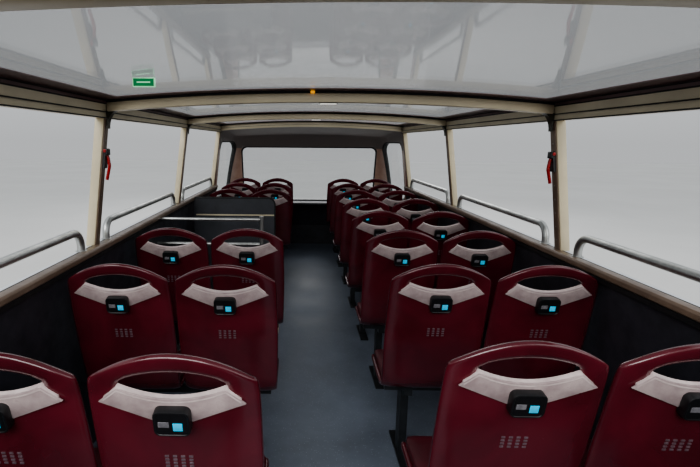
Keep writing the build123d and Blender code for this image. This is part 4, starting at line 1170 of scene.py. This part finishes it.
class DECK_OT_body_trim(bpy.types.Operator):
    """Mouldings, panel joints and rivets on the leaning sides, lamps and vents at the rear"""

    bl_idname = "deck.body_trim"
    bl_label = "Body trim"

    def execute(self, context):
        low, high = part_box("side_wall_right")
        waist, top = FLOOR + 0.3, FLOOR + rails().sill_h - 0.034
        lean = math.tan(math.radians(6.7))
        band, drip, clear = (waist + 0.05, waist + 0.085), (top - 0.07, top - 0.05), 0.003
        panel, rivet_rows, rivet_step = 1.2, 14, 0.042

        def wall(z, proud=0.0):
            """Outer face of the right wall at a height."""
            return high.x - max(0.0, z - waist) * lean + proud

        def strip(name, z0, z1, proud):
            """A moulding along the wall between two heights."""
            corners = ((z0, -0.002, z0), (z0, proud, z0 + 0.002), (z1, proud, z1 - 0.002), (z1, -0.002, z1))
            outline = [(wall(at, out), high.y, z) for at, out, z in corners]
            return drawn_through(name, outline, [(0, low.y - high.y, 0)], 0.0008, 1)

        mouldings = strip("waist", *band, 0.0045), strip("drip", *drip, 0.004)
        done_both(joined("waist_moulding_right", *mouldings), "cream_aluminium")
        joints, rivets = [], []
        count = max(1, round((high.y - low.y) / panel))
        for i in range(1, count):
            y = low.y + (high.y - low.y) * i / count
            for z0, z1 in ((band[1] + clear, drip[0] - clear), (drip[1] + clear, top)):
                corners = ((-0.002, -0.0015), (0.0005, -0.0015), (0.0005, 0.0015), (-0.002, 0.0015))
                outline = [(wall(z0, out), y + along, z0) for out, along in corners]
                joints.append(drawn_through("panel_joint", outline, [(wall(z1) - wall(z0), 0, z1 - z0)]))
            for side in (-0.022, 0.022):
                for z in (waist + 0.11 + j * rivet_step for j in range(rivet_rows)):
                    rivets.append((wall(z, -0.0004), y + side, z))
        done_both(joined("panel_joints_right", *joints), "seal_rubber")
        done_both(copies(ball("rivet", 0.005, 0.4), rivets, "rivets_right"), "body_paint")
        for node, ahead in (("front_panel", 0.0), ("front_cap", 0.0), ("rear_wall", 1.5)):
            foot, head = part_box(node)
            if foot.z < band[0] and head.z > band[1]:
                heart = Vector((0, (head.y if ahead else foot.y) + ahead, sum(band) / 2))

                def hidden(m, n):
                    """Faces that look inwards, up or down."""
                    return n.dot((m - heart).normalized()) < FACING or abs(n.z) > 0.9

                cuts = [(band[0], True), (band[1], False)]
                skin = skin_of(node, "waist_band_" + node, cuts, hidden, 0.8 * MM)
                done(skin, "cream_aluminium", smooth=40)
        self.rear_details(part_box("rear_wall")[0].y)
        return {"FINISHED"}

    def rear_details(self, rear):
        """Vent slats and lamps on the rear wall, under a millimetre proud."""
        inside, slat_h, lamp_h, rim = rear + 0.004, 0.012, 0.060, 0.006
        slats = []
        for z in (FLOOR + 0.52 + i * 0.034 for i in range(7)):
            slats.append(block("vent_slat", (-0.42, rear - 0.0009, z), (0.42, inside, z + slat_h), 0.0004, 1))
        rims, red, amber = [], [], []
        for side in (-1, 1):
            x0, x1 = sorted((side * 0.80, side * 0.96))
            for lenses, z in ((red, FLOOR + 0.90), (amber, FLOOR + 0.78)):
                corners = (x0 - rim, rear - 0.0006, z - rim), (x1 + rim, inside, z + lamp_h + rim)
                rims.append(block("rear_lamp_rim", *corners, 0.0003, 1))
                lenses.append(block("rear_lamp", (x0, rear - 0.0010, z), (x1, inside, z + lamp_h), 0.0004, 1))
        done(joined("rear_vent", *slats), "black_plastic")
        done(joined("rear_lamp_rims", *rims), "seal_rubber")
        done(joined("rear_lamps_red", *red), "red_plastic")
        done(joined("rear_lamps_amber", *amber), "amber_lens", slot="lamp_white")


# Nodes whose finish isn't the one of their slot
OTHER_FINISH = {
    "stair_rails": "stainless",
    "stair_board": "board_laminate",
    "sill_right": "sill_paint",
    "sill_left": "sill_paint",
    "rear_sill": "sill_paint",
}


class DECK_OT_node_finishes(bpy.types.Operator):
    """Materials on the nodes that stay as the model has them"""

    bl_idname = "deck.node_finishes"
    bl_label = "Node finishes"

    def execute(self, context):
        for part in frame["record"]["subparts"]:
            node = frame["nodes"][part["node"]]
            finish = finishes()[OTHER_FINISH.get(part["node"], part["material_slot"])]
            if not node.material_slots:
                node.data.materials.append(finish)
            for held in node.material_slots:
                held.material = finish
        return {"FINISHED"}


class DECK_OT_stage(bpy.types.Operator):
    """Pale floor, soft studio light and the camera"""

    bl_idname = "deck.stage"
    bl_label = "Stage"

    def execute(self, context):
        only()
        bpy.ops.mesh.primitive_plane_add(size=80.0, location=(0, 0, 0))
        floor = context.object
        floor.name = "studio_floor"
        paper = plain_finish("studio_floor", "C9C9C7", "CFCFCD", 3000, 20, 0.01, (0.6, 0.7))
        floor.data.materials.append(paper)
        world = bpy.data.worlds.new("studio")
        world.use_nodes = True
        tree = world.node_tree
        ray = add(tree, "ShaderNodeTexCoord").outputs["Generated"]
        height = add(tree, "ShaderNodeSeparateXYZ", {"Vector": ray}).outputs["Z"]
        rise = add(tree, "ShaderNodeMapRange", {"Value": height, "From Max": 0.3}).outputs["Result"]
        ends = {0: rise, 6: linear("C4C6C8"), 7: linear("EEF1F4")}
        sky = add(tree, "ShaderNodeMix", ends, data_type="RGBA").outputs[2]
        wire(tree, tree.nodes["Background"], {"Color": sky, "Strength": 0.85})
        context.scene.world = world
        for name, place, aim, size, power in (
            ("key", (-4.0, -8.0, 7.0), (0, -1, 1.0), 5.0, 420.0),
            ("fill", (6.0, -5.0, 5.0), (0, -1, 1.0), 6.0, 160.0),
            ("front", (0.5, 9.5, 5.0), (0, 3, 1.2), 5.0, 260.0),
            ("rear", (-0.3, -6.5, 4.2), (0, 0, 0.8), 3.0, 190.0),
        ):
            light = bpy.data.lights.new(name, "AREA")
            light.energy = power
            light.size = size
            lamp = bpy.data.objects.new(name, light)
            lamp.location = place
            lamp.rotation_euler = (Vector(aim) - Vector(place)).to_track_quat("-Z", "Y").to_euler()
            context.collection.objects.link(lamp)
        self.camera(context)
        context.scene.view_settings.view_transform = "AgX"
        context.scene.view_settings.look = "AgX - Medium High Contrast"
        return {"FINISHED"}

    def camera(self, context):
        """The photo's camera. The photo is a crop, so its centre lies off the middle of the frame."""
        width, height, focal, centre_x, centre_y = 700, 467, 464.3, 290.6, 226.3  # Pixels
        sensor, place = 36.0, (-0.132, -2.176, 1.698)
        pitch, yaw, roll = (math.radians(a) for a in (10.33, -1.064, -0.389))
        ahead = Vector((math.sin(yaw) * math.cos(pitch), math.cos(yaw) * math.cos(pitch), -math.sin(pitch)))
        level = Vector((math.cos(yaw), -math.sin(yaw), 0.0))
        right = math.cos(roll) * level - math.sin(roll) * level.cross(ahead)
        over = right.cross(ahead)
        view = bpy.data.cameras.new("camera")
        view.sensor_width = sensor
        view.lens = focal / width * sensor
        view.shift_x = (width / 2 - centre_x) / width
        view.shift_y = -(height / 2 - centre_y) / width
        view.clip_start = 0.02
        camera = bpy.data.objects.new("camera", view)
        turned = Matrix((right, over, -ahead)).transposed().to_4x4()
        camera.matrix_world = Matrix.Translation(place) @ turned
        context.collection.objects.link(camera)
        context.scene.camera = camera


# Add-on


OPERATORS = (
    DECK_OT_stage,
    DECK_OT_node_finishes,
    DECK_OT_seat_shells,
    DECK_OT_seat_fittings,
    DECK_OT_cushions,
    DECK_OT_guard_rails,
    DECK_OT_sills,
    DECK_OT_posts,
    DECK_OT_beams,
    DECK_OT_knees,
    DECK_OT_cap_trim,
    DECK_OT_fittings,
    DECK_OT_stair_trim,
    DECK_OT_roof_edges,
    DECK_OT_body_trim,
)
GROUPS = {
    "deck_canopy": CanopySizes,
    "deck_rails": RailSizes,
    "deck_seats": SeatSizes,
    "deck_colours": DeckColours,
}


class DECK_PT_panel(bpy.types.Panel):
    """Sizes and pieces of the upper deck"""

    bl_idname = "DECK_PT_panel"
    bl_label = "Upper deck"
    bl_space_type = "VIEW_3D"
    bl_region_type = "UI"
    bl_category = "Upper deck"

    def draw(self, context):
        for group in GROUPS:
            held = getattr(context.scene, group)
            box = self.layout.box()
            for key in held.__annotations__:
                box.prop(held, key)
        for operator in OPERATORS:
            self.layout.operator(operator.bl_idname)


def register():
    for kind in (*GROUPS.values(), *OPERATORS, DECK_PT_panel):
        bpy.utils.register_class(kind)
    for name, kind in GROUPS.items():
        setattr(bpy.types.Scene, name, bpy.props.PointerProperty(type=kind))


def unregister():
    for name in GROUPS:
        delattr(bpy.types.Scene, name)
    for kind in reversed((*GROUPS.values(), *OPERATORS, DECK_PT_panel)):
        bpy.utils.unregister_class(kind)


def main():
    """Makes every piece in order."""
    register()
    for operator in OPERATORS:
        group, name = operator.bl_idname.split(".")
        getattr(getattr(bpy.ops, group), name)()
    only()


if __name__ == "__main__":
    main()
